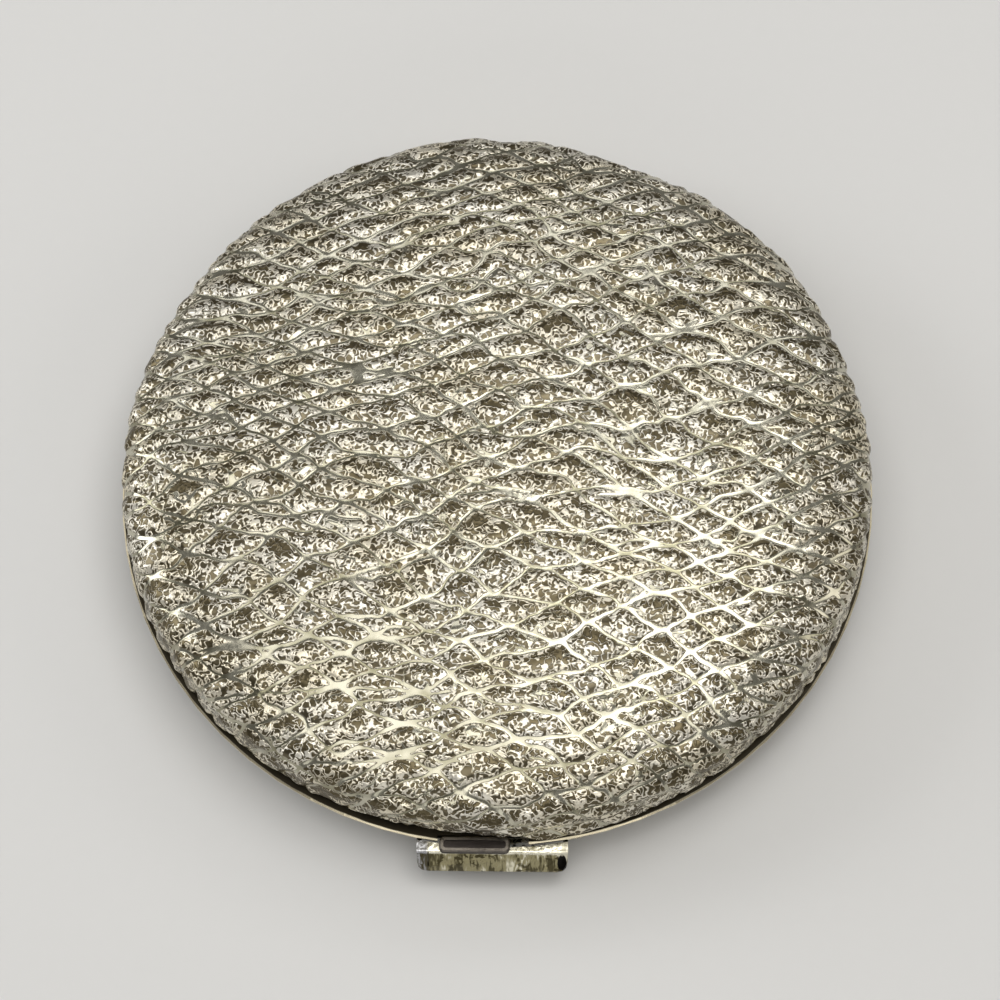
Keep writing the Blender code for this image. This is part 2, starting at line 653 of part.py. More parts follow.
def catch_housing():
    """Bar with a sloping face, hollow for the bolt and its spring, cut to the round base."""
    half = HOUSING_WIDTH / 2
    housing = extruded("catch_housing", housing_section(), -half, half, worn_brass())
    plan = block("housing_plan", (-half, half), (-HOUSING_FRONT, HOUSING_BACK),
                 (HOUSING_LOW - OVERRUN, HOUSING_TOP + OVERRUN), corner=HOUSING_CORNER)
    cavity = extruded("housing_cavity", cavity_section(), -half + HOUSING_WALL, half - HOUSING_WALL)
    wall = BASE_RADIUS + SEAT_GAP
    under_flange = FLANGE_LOW - SEAT_GAP
    drum = turned("housing_drum", [(0.0, -OVERRUN), (wall, -OVERRUN), (wall, under_flange),
                                   (HOUSING_BACK, under_flange), (HOUSING_BACK, LID_LOW), (0.0, LID_LOW)])
    neck_half = NECK_WIDTH / 2 + RUN_GAP
    neck_room = block("housing_neck_room",
                      (SLIDE_OFFSET - neck_half, SLIDE_OFFSET + neck_half + SLIDE_TRAVEL),
                      (STUB_DEPTH - NECK_DEPTH / 2 - RUN_GAP, 0),
                      (HOUSING_TOP - HOUSING_WALL - RUN_GAP, HOUSING_TOP + OVERRUN))
    combine(housing, "INTERSECT", plan)
    return combine(housing, "DIFFERENCE", cavity, drum, neck_room)


def slide_button():
    """Dark thumb piece with a bare recess, a neck through the housing and a stub riveted under the bolt."""
    high = SLIDE_LOW + SLIDE_THICKNESS
    button = block("slide_button", (SLIDE_LEFT, SLIDE_RIGHT), (-SLIDE_FRONT, -SLIDE_BACK),
                   (SLIDE_LOW, high), dark_metal(), corner=SLIDE_CORNER, edge=SLIDE_EDGE)
    recess = block("slide_recess", (SLIDE_LEFT + RECESS_BORDER, SLIDE_RIGHT - RECESS_BORDER),
                   (-SLIDE_FRONT + RECESS_BORDER, -SLIDE_BACK - RECESS_BORDER),
                   (high - RECESS_DEPTH, high + OVERRUN), corner=SLIDE_CORNER / 2)
    neck_low = SLIDE_LOW - NECK_LENGTH
    neck = block("slide_neck", (SLIDE_OFFSET - NECK_WIDTH / 2, SLIDE_OFFSET + NECK_WIDTH / 2),
                 (STUB_DEPTH - NECK_DEPTH / 2, STUB_DEPTH + NECK_DEPTH / 2),
                 (neck_low, SLIDE_LOW + RECESS_DEPTH))
    head_top = BOLT_LOW - SEAT_GAP
    head_low = head_top - STUB_HEAD_THICKNESS
    stub = rod("slide_stub", STUB_RADIUS, (SLIDE_OFFSET, STUB_DEPTH, (head_low + head_top) / 2),
               (SLIDE_OFFSET, STUB_DEPTH, neck_low + NECK_LENGTH / 2), segments=PIN_SEGMENTS)
    head = rod("slide_head", STUB_HEAD_RADIUS, (SLIDE_OFFSET, STUB_DEPTH, head_low),
               (SLIDE_OFFSET, STUB_DEPTH, head_top), segments=PIN_SEGMENTS)
    combine(button, "DIFFERENCE", recess)
    return combine(button, "UNION", neck, stub, head)


def slide_bolt():
    """Flat bolt in the housing, whose nose reaches in through the base wall to the tongue."""
    bolt = block("slide_bolt", (BOLT_LEFT, BOLT_RIGHT), (-BOLT_BACK - BOLT_DEPTH, -BOLT_BACK),
                 (BOLT_LOW, BOLT_TOP), spring_steel())
    nose = block("bolt_nose", (NOSE_LEFT, NOSE_RIGHT),
                 (-BOLT_BACK - BOLT_DEPTH / 2, -BOLT_BACK + NOSE_LENGTH), (BOLT_LOW, BOLT_TOP))
    hole = rod("bolt_hole", STUB_RADIUS + PIN_GAP, (SLIDE_OFFSET, STUB_DEPTH, BOLT_LOW - OVERRUN),
               (SLIDE_OFFSET, STUB_DEPTH, BOLT_TOP + OVERRUN), segments=PIN_SEGMENTS)
    combine(bolt, "UNION", nose)
    return combine(bolt, "DIFFERENCE", hole)


def slide_spring():
    """Coil between the bolt and the housing's end, which holds the slide shut."""
    start = BOLT_RIGHT + SEAT_GAP + SPRING_WIRE
    end = HOUSING_WIDTH / 2 - HOUSING_WALL - SEAT_GAP - SPRING_WIRE
    depth = -BOLT_BACK - BOLT_DEPTH / 2
    height = (BOLT_LOW + BOLT_TOP) / 2
    curve = bpy.data.curves.new("slide_spring", "CURVE")
    curve.dimensions = "3D"
    curve.bevel_depth = SPRING_WIRE
    curve.bevel_resolution = 1
    curve.use_fill_caps = True
    count = SPRING_TURNS * SPRING_POINTS
    spline = curve.splines.new("POLY")
    spline.points.add(count)
    for step, point in enumerate(spline.points):
        angle = 2 * math.pi * step / SPRING_POINTS
        y = depth + SPRING_RADIUS * math.cos(angle)
        z = height + SPRING_RADIUS * math.sin(angle)
        point.co = (start + (end - start) * step / count, y, z, 1)
    curve.materials.append(spring_steel())
    spring = bpy.data.objects.new("slide_spring", curve)
    bpy.context.collection.objects.link(spring)
    return spring


def lid_tongue():
    """Hooked plate soldered inside the lid, with a notch that the bolt's nose slides into."""
    tongue = wall_plate("lid_tongue", (TONGUE_LEFT, TONGUE_RIGHT), TONGUE_LOW,
                        LID_SHOULDER + SEAT_GAP, True, bright_gilt())
    notch = block("tongue_notch", (NOSE_LEFT - RUN_GAP, TONGUE_RIGHT + OVERRUN), (-RIM_RADIUS, 0),
                  (BOLT_LOW - RUN_GAP, BOLT_TOP + RUN_GAP))
    return combine(tongue, "DIFFERENCE", notch)


def build():
    clear_scene()
    base_shell()
    rim_frame()
    powder_tray()
    powder_pan()
    powder_cake()
    pan_keeper()
    puff_pad()
    puff_ribbon()
    base_hinge()
    hinge_pin()
    catch_housing()
    slide_button()
    slide_bolt()
    slide_spring()
    lid_shell()
    mirror_frame()
    mirror()
    mirror_backing()
    lid_hinge()
    lid_tongue()


build()
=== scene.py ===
import math

import bmesh
import bpy
import numpy as np
from mathutils import Matrix, Quaternion, Vector
from mathutils.bvhtree import BVHTree


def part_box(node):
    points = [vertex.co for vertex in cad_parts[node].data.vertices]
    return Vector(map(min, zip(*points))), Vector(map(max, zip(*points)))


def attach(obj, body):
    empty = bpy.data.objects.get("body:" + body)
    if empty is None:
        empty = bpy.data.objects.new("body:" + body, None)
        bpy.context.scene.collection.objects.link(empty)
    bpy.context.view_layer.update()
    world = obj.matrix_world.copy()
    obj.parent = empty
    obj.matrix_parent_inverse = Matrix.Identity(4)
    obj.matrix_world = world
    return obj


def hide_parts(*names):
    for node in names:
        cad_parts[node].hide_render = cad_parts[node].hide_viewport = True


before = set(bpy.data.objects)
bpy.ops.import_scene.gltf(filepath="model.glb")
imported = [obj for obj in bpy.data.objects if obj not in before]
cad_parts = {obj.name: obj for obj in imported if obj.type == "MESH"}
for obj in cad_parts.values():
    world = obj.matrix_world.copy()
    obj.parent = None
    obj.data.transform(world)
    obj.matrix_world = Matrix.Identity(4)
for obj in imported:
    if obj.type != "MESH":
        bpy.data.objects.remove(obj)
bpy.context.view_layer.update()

bl_info = {
    "name": "Hide Grain Compact",
    "version": (1, 0, 0),
    "blender": (4, 5, 0),
    "location": "3D View > Sidebar > Compact",
    "description": "Builds the visible pieces and finishes of a round vanity compact",
    "category": "Object",
}

MM = 0.001
NOISE_TABLE = 512
PROFILE_STEPS = 600
CLOTH_FRAMES = 20
SHARP_ANGLE = math.radians(35)
MERGE_DISTANCE = 0.001 * MM

# Room round the hinge, as in the solids, and how far a cutter reaches past what it cuts
RUN_GAP = 0.2 * MM
CUT_OVERRUN = 3 * MM

# Places read from the solids
LID_LOW_CORNER, LID_HIGH_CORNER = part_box("lid_shell")
BASE_LOW_CORNER, BASE_HIGH_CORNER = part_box("base_shell")
RIM_HIGH_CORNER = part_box("rim_frame")[1]
PIN_LOW_CORNER, PIN_HIGH_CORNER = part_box("hinge_pin")
BUTTON_HIGH_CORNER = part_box("slide_button")[1]
PUFF_LOW_CORNER, PUFF_HIGH_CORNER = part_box("puff_pad")
RIBBON_HIGH_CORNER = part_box("puff_ribbon")[1]
HINGE_HEIGHT = (PIN_LOW_CORNER.z + PIN_HIGH_CORNER.z) / 2
BAR_LOW_CORNER, BAR_HIGH_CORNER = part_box("catch_housing")
BAR_HALF = BAR_HIGH_CORNER.x

# The catch bar's sloping face, and its marks as shares of half its width
BAR_FACE_DEPTH = 1.1 * MM
BAR_LEDGE = BAR_LOW_CORNER.y + BAR_FACE_DEPTH
BAR_SLOPE = math.atan2(BAR_HIGH_CORNER.z - BAR_LOW_CORNER.z, BAR_FACE_DEPTH)
SCORE_MIDDLE = -0.845
HOLLOW_LEFT = 0.86
HOLLOW_RIGHT = 0.985

# Area lights that face the origin: name, place, width and depth, watts and colour
LIGHTS = (
    ("softbox", (0.0, -0.08, 0.60), (0.58, 0.50), 1.55, (1.0, 0.985, 0.95)),
    ("key", (0.14, 0.13, 0.60), (0.34, 0.26), 0.62, (1, 1, 1)),
    ("back", (0.0, 0.42, 0.46), (0.90, 0.12), 0.50, (1, 1, 1)),
    ("front", (0.0, -0.55, 0.26), (0.80, 0.20), 0.45, (1, 1, 1)),
    ("left", (-0.50, 0.12, 0.26), (0.30, 0.30), 0.95, (0.97, 0.98, 1.0)),
    ("right", (0.52, 0.02, 0.28), (0.30, 0.30), 0.38, (1.0, 0.96, 0.90)),
)


def length(name, text, default):
    return bpy.props.FloatProperty(name=name, description=text, default=default, unit="LENGTH",
                                   precision=5)


def colour(name, text, default):
    return bpy.props.FloatVectorProperty(name=name, description=text, default=default, size=3,
                                         subtype="COLOR", min=0, max=1)


class HideSizes(bpy.types.PropertyGroup):
    """Sizes of the hide grain pressed into the lid and the base."""
    cell_length: length("Cell Length", "Length of a hide cell, across the compact", 7.0 * MM)
    cell_height: length("Cell Height", "Height of a hide cell, towards the hinge", 3.2 * MM)
    pillow: length("Pillow", "Rise of a cell above its channels", 0.26 * MM)
    tilt: bpy.props.FloatProperty(name="Tilt", description="How much higher a cell's near edge is",
                                  default=0.45, min=0, max=1)
    swell: length("Swell", "Slow waves of the whole sheet", 0.10 * MM)
    wrinkle: length("Wrinkle", "Height of the fine wrinkles on a cell", 0.04 * MM)
    grain: length("Grain", "Size of the glittering grains", 0.57 * MM)


class PuffSizes(bpy.types.PropertyGroup):
    """Sizes of the velour puff and its satin ribbon."""
    pillow_power: bpy.props.FloatProperty(name="Pillow Power", description="How square its sides are",
                                          default=2.6, min=2, max=6)
    voxel: length("Voxel", "Mesh spacing of the cloth simulation", 0.75 * MM)
    cap: length("Cap", "How far the simulation may move a point", 0.7 * MM)
    pucker: length("Pucker", "Depth of the puckers along the seam", 0.30 * MM)
    seam: length("Seam", "Depth of the sewn seam", 0.35 * MM)
    press: length("Press", "How deep the ribbon presses into the pad", 0.30 * MM)
    ribbon: length("Ribbon", "Thickness of the ribbon", 0.16 * MM)
    stitch: length("Stitch", "Length of the stitches at its ends", 0.62 * MM)


class CompactColours(bpy.types.PropertyGroup):
    """Colours of the finishes."""
    gilt: colour("Pale Gilt", "Metal of the lid and the base", (0.84, 0.80, 0.70))
    film: colour("Film", "Gilt under a thin film of age", (0.80, 0.73, 0.57))
    # Painted shade: both channel colours are darker than the gilt, the narrow channels darkest.
    channel: colour("Channel", "Smooth channels of the hide grain, where they widen", (0.56, 0.535, 0.43))
    crease_shade: colour("Crease", "Narrow channels of the hide grain", (0.26, 0.245, 0.165))
    # Tarnish is also painted as shade on the upper part of each hide cell and in the crumple hollows of the
    # wall.
    tarnish: colour("Tarnish", "Darkened metal in the hollows", (0.115, 0.094, 0.054))
    bright: colour("Bright Gilt", "Polished metal of the rim and the rings", (0.88, 0.78, 0.55))
    brass: colour("Worn Brass", "Metal of the catch bar", (0.36, 0.325, 0.19))
    dark: colour("Dark Metal", "Blackened thumb piece", (0.05, 0.043, 0.04))
    powder: colour("Powder", "Pressed face powder", (0.74, 0.50, 0.37))
    velour: colour("Velour", "Pile of the puff", (0.84, 0.66, 0.56))
    satin: colour("Satin", "Ribbon of the puff", (0.74, 0.47, 0.39))


class StageSettings(bpy.types.PropertyGroup):
    """Camera, lights and floor."""
    elevation: bpy.props.FloatProperty(name="Elevation", description="Camera above the horizon",
                                       default=math.radians(66.3), subtype="ANGLE")
    azimuth: bpy.props.FloatProperty(name="Azimuth", description="Camera to the right of the catch",
                                     default=math.radians(1.0), subtype="ANGLE")
    roll: bpy.props.FloatProperty(name="Roll", description="Turn of the camera about its view",
                                  default=math.radians(0.3), subtype="ANGLE")
    distance: length("Distance", "Camera to the middle of the seam", 365.8 * MM)
    aim_right: length("Aim Right", "How far right of the middle the camera aims", 0.27 * MM)
    aim_down: length("Aim Down", "How far below the middle the camera aims", 1.42 * MM)
    lens: bpy.props.FloatProperty(name="Lens", description="Focal length in millimetres",
                                  default=131.4)
    floor: colour("Floor", "Plain pale floor", (0.70, 0.695, 0.68))


class Field:
    """An output socket of a material, which can be used in sums as a number is."""

    def __init__(self, tree, socket):
        self.tree = tree
        self.socket = socket

    def node(self, kind, settings=None, sockets=None, out=0):
        """A new node of this material: its settings first, then its sockets' values or links."""
        made = self.tree.nodes.new(kind)
        for key, value in (settings or {}).items():
            setattr(made, key, value)
        for key, value in (sockets or {}).items():
            if isinstance(value, Field):
                self.tree.links.new(value.socket, made.inputs[key])
            else:
                made.inputs[key].default_value = value
        return Field(self.tree, made.outputs[out])

    def maths(self, operation, *values):
        return self.node("ShaderNodeMath", {"operation": operation}, dict(enumerate(values)))

    def __add__(self, other):
        return self.maths("ADD", self, other)

    __radd__ = __add__

    def __sub__(self, other):
        return self.maths("SUBTRACT", self, other)

    def __rsub__(self, other):
        return self.maths("SUBTRACT", other, self)

    def __mul__(self, other):
        return self.maths("MULTIPLY", self, other)

    __rmul__ = __mul__

    def absolute(self):
        return self.maths("ABSOLUTE", self)

    def sine(self):
        return self.maths("SINE", self)

    def least(self, other, corner):
        """The lesser of two values, with the corner between them rounded off."""
        return self.maths("SMOOTH_MIN", self, other, corner)

    def between(self, low, high, start=0.0, end=1.0):
        """This value spread smoothly from start to end as it goes from low to high."""
        limits = {"From Min": low, "From Max": high, "To Min": start, "To Max": end}
        settings = {"interpolation_type": "SMOOTHSTEP"}
        return self.node("ShaderNodeMapRange", settings, {"Value": self, **limits})

    def blend(self, first, second):
        """The colour first where this value is 0 and second where it is 1."""
        first, second = (c if isinstance(c, Field) else (*c, 1) for c in (first, second))
        return self.node("ShaderNodeMix", {"data_type": "RGBA"}, {0: self, 6: first, 7: second}, 2)


class Finish:
    """A material with a Principled shader and the fields that its patterns start from."""

    def __init__(self, name, **constants):
        self.material = bpy.data.materials.new("finish_" + name)
        self.material.use_nodes = True
        self.tree = self.material.node_tree
        self.shader = self.tree.nodes["Principled BSDF"]
        for key, value in constants.items():
            self.socket(key).default_value = value
        start = Field(self.tree, None)
        self.place = start.node("ShaderNodeTexCoord", out="Object")

    def attribute(self, name):
        return self.place.node("ShaderNodeAttribute", {"attribute_name": name}, out="Fac")

    def noise(self, size, detail=2.0, rough=0.5, bend=0.0, stretch=None):
        """Noise whose bumps are about as long as size, in metres. Stretch gives its scale along
        each axis, and its bumps are longer where that is small."""
        place = self.place
        if stretch:
            place = place.node("ShaderNodeMapping", None, {"Vector": place, "Scale": stretch})
        sockets = {"Vector": place, "Scale": 1 / size, "Detail": detail, "Roughness": rough,
                   "Distortion": bend}
        return place.node("ShaderNodeTexNoise", None, sockets)

    def axis(self, name):
        return self.place.node("ShaderNodeSeparateXYZ", None, {"Vector": self.place}, name)

    def bump(self, height, depth):
        """A Bump node whose height of 1 stands depth metres high."""
        sockets = {"Height": height, "Distance": depth, "Strength": 1.0}
        return self.place.node("ShaderNodeBump", None, sockets)

    def socket(self, key):
        """The shader's input that a keyword such as base_color stands for."""
        return self.shader.inputs[key.replace("_", " ").title().replace("Ior", "IOR")]

    def feed(self, **fields):
        """Links fields to the shader's sockets and returns the material."""
        for key, field in fields.items():
            self.tree.links.new(field.socket, self.socket(key))
        return self.material


def darker(shade, share):
    return tuple(part * share for part in shade)


def hide_gilt(colours, sizes):
    """Pale gilt over the hide grain: glittering worms of metal, smooth channels painted darker as shade,
    dark tarnish in the hollows, and painted shade on the upper part of each cell.
    """
    finish = Finish("hide_gilt", metallic=1.0)
    crossing = finish.attribute("rising").absolute().least(finish.attribute("falling").absolute(), 0.5)
    level = finish.attribute("level").absolute() + finish.attribute("filled")
    branch = (finish.noise(2.4 * MM, detail=1.0, bend=0.6) - 0.5).absolute() * 6.0
    branch = branch + finish.noise(4.0 * MM, detail=1.0).between(0.56, 0.46, 0.04, 1.0)
    distance = crossing.least(level, 0.5).least(branch, 0.2)
    wide = finish.noise(3.0 * MM, detail=2.0).between(0.35, 0.68)
    channel = (distance - wide.between(0.0, 1.0, 0.08, 0.20)).between(0.06, -0.02)
    open_cell = 1 - channel
    away = (finish.noise(sizes.grain, detail=0.0, bend=0.8) - 0.5).absolute()
    ridges = away.between(0.18, 0.0)
    blotch = finish.noise(7 * MM, detail=4.0, rough=0.65)
    # Painted shade: the patch layer darkens the upper part of each cell and the crumple hollows of the
    # wall, and widens the dark gaps there; the rest of the dark mask is tarnish in the gaps between the
    # grains and random blotches.
    patch = finish.attribute("patch")
    dark = ((away + patch * 0.09).between(0.072, 0.135) * 0.88 + patch * 0.42) * open_cell
    dark = (dark + blotch.between(0.5, 0.8, 0.0, 0.20)).between(0.0, 1.0)
    film = blotch.between(0.35, 0.65).blend(colours.gilt, colours.film)
    # Painted shade: the channels are darker than the gilt, the narrow ones darkest.
    film = channel.blend(film, wide.blend(colours.crease_shade, colours.channel))
    return finish.feed(
        base_color=dark.blend(film, colours.tarnish),
        roughness=ridges.between(0.0, 1.0, 0.30, 0.36) - channel * 0.15,
        normal=finish.bump(ridges * open_cell + channel * -0.15, 0.05 * MM),
    )


def bright_gilt(colours):
    """Polished gilt with fine turning lines, thin scratches and a breath of tarnish."""
    finish = Finish("bright_gilt", metallic=1.0)
    lines = finish.noise(0.5 * MM, detail=2.0, stretch=(0.12, 0.12, 6.0))
    scratches = finish.noise(0.35 * MM, detail=1.0, bend=1.5).between(0.66, 0.72)
    patch = finish.noise(7 * MM, detail=4.0, rough=0.65)
    warm = patch.between(0.45, 0.75, 0.0, 0.5)
    return finish.feed(
        base_color=warm.blend(colours.bright, (0.62, 0.46, 0.26)),
        roughness=patch.between(0.3, 0.7, 0.13, 0.26) + scratches * 0.12,
        normal=finish.bump(lines * 0.5 + scratches * 0.3, 0.006 * MM),
    )


def rim_gilt(colours):
    """Gilt ring, bright along its outer edge, with painted shade on the flange inside that edge where the
    lid overhangs it, and random patches of grime.
    """
    finish = Finish("rim_gilt", metallic=1.0)
    out = finish.place.node("ShaderNodeVectorMath", {"operation": "MULTIPLY"},
                            {0: finish.place, 1: (1, 1, 0)})
    reach = out.node("ShaderNodeVectorMath", {"operation": "LENGTH"}, {0: out}, "Value")
    wear = finish.noise(2.5 * MM, detail=3.0, rough=0.6)
    radius = RIM_HIGH_CORNER.x
    edge = (reach + wear * (0.16 * MM)).between(radius - 0.16 * MM, radius - 0.03 * MM)
    inside = reach.between(radius - 1.7 * MM, radius - 2.2 * MM)
    # Painted shade: the flange between the outer edge and the inner part is nearly black, as under the
    # lid's overhang; the last term adds random grime anywhere.
    grime_and_shade = (1 - edge - inside) * wear.between(0.15, 0.5, 0.88, 1.0) + wear.between(0.62, 0.8, 0.0, 0.4)
    grime_and_shade = grime_and_shade.between(0.0, 1.0)
    return finish.feed(
        base_color=grime_and_shade.blend(colours.bright, (0.05, 0.042, 0.028)),
        roughness=grime_and_shade * 0.3 + wear.between(0.3, 0.7, 0.14, 0.24),
        normal=finish.bump(wear, 0.03 * MM),
    )


def worn_brass(colours):
    """Brass streaked up and down and spotted, with a painted highlight along its top, a painted grey
    reflection at its left end, and painted shade darkening its right end and blacking the hollow there.
    """
    finish = Finish("worn_brass", metallic=1.0)
    across = finish.axis("X") * (1 / BAR_HALF)
    streaks = finish.noise(0.9 * MM, detail=3.0, rough=0.7, stretch=(1.0, 0.22, 0.22))
    spots = finish.noise(1.3 * MM, detail=2.0, rough=0.6, bend=0.8)
    blotch = finish.noise(3.0 * MM, detail=3.0, rough=0.6)
    high = BAR_HIGH_CORNER.z
    # The top strip of the bar, which gets a painted highlight: paler patches, and grime kept off it.
    crest = finish.axis("Z").between(high - 0.30 * MM, high - 0.12 * MM)
    pale = streaks.between(0.52, 0.62) * (blotch.between(0.38, 0.6) + across.between(0.15, 0.55))
    pale = (pale + crest * blotch.between(0.38, 0.50)).between(0.0, 1.0)
    olive = streaks.between(0.52, 0.40) * 0.85 + spots.between(0.54, 0.64)
    face = Vector((0, math.sin(BAR_SLOPE), -math.cos(BAR_SLOPE)))
    depth = finish.axis("Y") * face.y + finish.axis("Z") * face.z - face.dot(BAR_LOW_CORNER)
    # Painted shade: the floor of the hollow at the right end is painted nearly black.
    hollow = depth.between(0.03 * MM, 0.09 * MM)
    hollow = hollow * finish.axis("Y").between(BAR_LEDGE, BAR_LEDGE - 0.04 * MM)
    hollow = hollow * across.between(HOLLOW_LEFT - 0.015, HOLLOW_LEFT - 0.005)
    hollow = hollow * across.between(HOLLOW_RIGHT + 0.01, HOLLOW_RIGHT)
    # Grime from the olive streaks and spots, and painted shade darkening the right end round the hollow.
    grime_and_shade = (olive * (1 - crest * 0.85) + across.between(0.84, 0.97) * 0.25).between(0.0, 1.0)
    metal = pale.blend(colours.brass, (0.86, 0.82, 0.66))
    # Painted reflection: the left end is grey.
    metal = across.between(-0.82, -0.88).blend(metal, (0.42, 0.42, 0.43))
    return finish.feed(
        base_color=hollow.blend(grime_and_shade.blend(metal, (0.085, 0.072, 0.035)), (0.008, 0.007, 0.006)),
        roughness=(grime_and_shade + hollow) * 0.2 + streaks.between(0.3, 0.7, 0.20, 0.34),
        normal=finish.bump(streaks * 0.6 + blotch + spots * 0.5, 0.16 * MM),
    )


def dark_metal(colours):
    """Blackened metal with a satin face, rubbed paler on the border that stands up."""
    finish = Finish("dark_metal", metallic=1.0)
    wear = finish.noise(0.9 * MM, detail=3.0, rough=0.6)
    fine = finish.noise(0.15 * MM, detail=2.0)
    high = BUTTON_HIGH_CORNER.z
    raised = finish.axis("Z").between(high - 0.20 * MM, high - 0.08 * MM)
    rubbed = raised * wear.between(0.25, 0.55, 0.45, 1.0)
    return finish.feed(
        base_color=rubbed.blend(colours.dark, (0.19, 0.17, 0.145)),
        roughness=wear.between(0.3, 0.7, 0.30, 0.46),
        normal=finish.bump(fine * 0.4 + wear, 0.03 * MM),
    )


def drawn_steel():
    finish = Finish("drawn_steel", metallic=1.0)
    lines = finish.noise(0.25 * MM, detail=2.0, stretch=(0.1, 1.0, 1.0))
    film = finish.noise(2.0 * MM, detail=2.0)
    return finish.feed(
        base_color=film.between(0.4, 0.8).blend((0.60, 0.61, 0.62), (0.40, 0.37, 0.33)),
        roughness=lines.between(0.3, 0.7, 0.20, 0.36),
        normal=finish.bump(lines, 0.006 * MM),
    )


def pan_tin():
    finish = Finish("pan_tin", metallic=1.0)
    grain = finish.noise(0.4 * MM, detail=3.0)
    return finish.feed(
        base_color=grain.between(0.3, 0.7).blend((0.74, 0.74, 0.75), (0.58, 0.58, 0.59)),
        roughness=grain.between(0.3, 0.7, 0.30, 0.45),
        normal=finish.bump(grain, 0.01 * MM),
    )


def face_powder(colours):
    """Pressed powder: a fine matte grain with paler specks and faint clouds."""
    finish = Finish("face_powder", metallic=0.0, specular_ior_level=0.15)
    grain = finish.noise(0.16 * MM, detail=3.0, rough=0.7)
    cloud = finish.noise(6 * MM, detail=3.0)
    shade = (cloud.between(0.35, 0.7) * 0.6 + grain.between(0.3, 0.7) * 0.4)
    deep = darker(colours.powder, 0.84)
    return finish.feed(
        base_color=shade.blend(colours.powder, deep),
        roughness=grain.between(0.3, 0.7, 0.85, 0.98),
        normal=finish.bump(grain + cloud * 2.0, 0.03 * MM),
    )


def silvered_glass():
    """Mirror glass with a trace of powder dust on it."""
    finish = Finish("silvered_glass", metallic=1.0)
    dust = finish.noise(0.3 * MM, detail=2.0).between(0.64, 0.72)
    film = finish.noise(14 * MM, detail=3.0).between(0.5, 0.8)
    return finish.feed(
        base_color=(dust * 0.5).blend((0.92, 0.94, 0.94), (0.80, 0.72, 0.66)),
        roughness=film * 0.05 + dust * 0.3 + 0.015,
    )


def felt_board():
    finish = Finish("felt_board", metallic=0.0)
    fibres = finish.noise(0.3 * MM, detail=4.0, rough=0.7, bend=1.0)
    return finish.feed(
        base_color=fibres.between(0.3, 0.7).blend((0.16, 0.13, 0.12), (0.30, 0.25, 0.22)),
        roughness=fibres.between(0.3, 0.7, 0.85, 1.0),
        normal=finish.bump(fibres, 0.06 * MM),
    )


def velour(colours):
    """Short cotton pile, brushed a little unevenly."""
    finish = Finish("velour", metallic=0.0, sheen_weight=0.6, sheen_roughness=0.45)
    pile = finish.noise(0.28 * MM, detail=3.0, rough=0.75, bend=0.3)
    nap = finish.noise(6.0 * MM, detail=2.0, rough=0.5)
    shade = pile.between(0.32, 0.68) * 0.75 + nap.between(0.3, 0.7) * 0.25
    deep = darker(colours.velour, 0.66)
    return finish.feed(
        base_color=shade.blend(deep, colours.velour),
        roughness=pile.between(0.3, 0.7, 0.82, 0.98),
        normal=finish.bump(pile + nap * 0.6, 0.20 * MM),
    )


def satin(colours):
    """Ribbon woven in fine ribs across its length, with a soft sheen."""
    finish = Finish("satin", metallic=0.0, sheen_weight=0.35, anisotropic=0.5)
    ribs = (finish.axis("X") * (2 * math.pi / (0.30 * MM))).sine()
    threads = finish.noise(0.10 * MM, detail=2.0, stretch=(0.15, 1.0, 1.0))
    soil = finish.noise(4 * MM, detail=3.0).between(0.45, 0.75)
    shade = (ribs * 0.25 + 0.35 + threads * 0.4 - soil * 0.35).between(0.0, 1.0)
    deep = darker(colours.satin, 0.68)
    return finish.feed(
        base_color=shade.blend(deep, colours.satin),
        roughness=threads.between(0.3, 0.7, 0.24, 0.40),
        normal=finish.bump(ribs * 0.5 + threads, 0.03 * MM),
    )


def floor_paint(colours):
    finish = Finish("floor_paint", roughness=0.75)
    tooth = finish.noise(1.5 * MM, detail=2.0)
    return finish.feed(base_color=tooth.blend(darker(colours.floor, 0.985), colours.floor))


def keep(name, material):
    """Gives a solid that keeps its shape its finish."""
    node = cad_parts[name]
    node.data.materials.clear()
    node.data.materials.append(material)


def linked(name, data):
    """A new object of the scene, with the mesh, light or camera given."""
    obj = bpy.data.objects.new(name, data)
    bpy.context.scene.collection.objects.link(obj)
    return obj


def meshed(name, shape):
    """The mesh of a bmesh, which is freed."""
    mesh = bpy.data.meshes.new(name)
    shape.to_mesh(mesh)
    shape.free()
    return mesh


def applied(obj):
    """The mesh of an object as its modifiers leave it."""
    graph = bpy.context.evaluated_depsgraph_get()
    return bpy.data.meshes.new_from_object(obj.evaluated_get(graph))


def piece(name, shape, material, body, replaces):
    """Links a finished bmesh as a piece that stands for a node of the solid model."""
    mesh = meshed(name, shape)
    mesh.materials.append(material)
    mesh.shade_smooth()
    mesh.set_sharp_from_angle(angle=SHARP_ANGLE)
    obj = linked(name, mesh)
    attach(obj, body)
    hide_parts(replaces)
    return obj


def coordinates(shape):
    """Places of a bmesh's vertices as an array of rows."""
    return np.array([v.co for v in shape.verts], float)


def move_to(shape, places):
    for vert, place in zip(shape.verts, places):
        vert.co = place


def smooth_noise(x, y, seed):
    """Noise from 0 to 1 with about one bump to the unit."""
    table = np.random.default_rng(seed).random((NOISE_TABLE, NOISE_TABLE))
    column, row = np.floor(x).astype(int), np.floor(y).astype(int)
    across, along = x - column, y - row
    across, along = (t * t * (3 - 2 * t) for t in (across, along))

    def read(i, j):
        return table[(column + i) % NOISE_TABLE, (row + j) % NOISE_TABLE]

    low = read(0, 0) * (1 - across) + read(1, 0) * across
    high = read(0, 1) * (1 - across) + read(1, 1) * across
    return low * (1 - along) + high * along


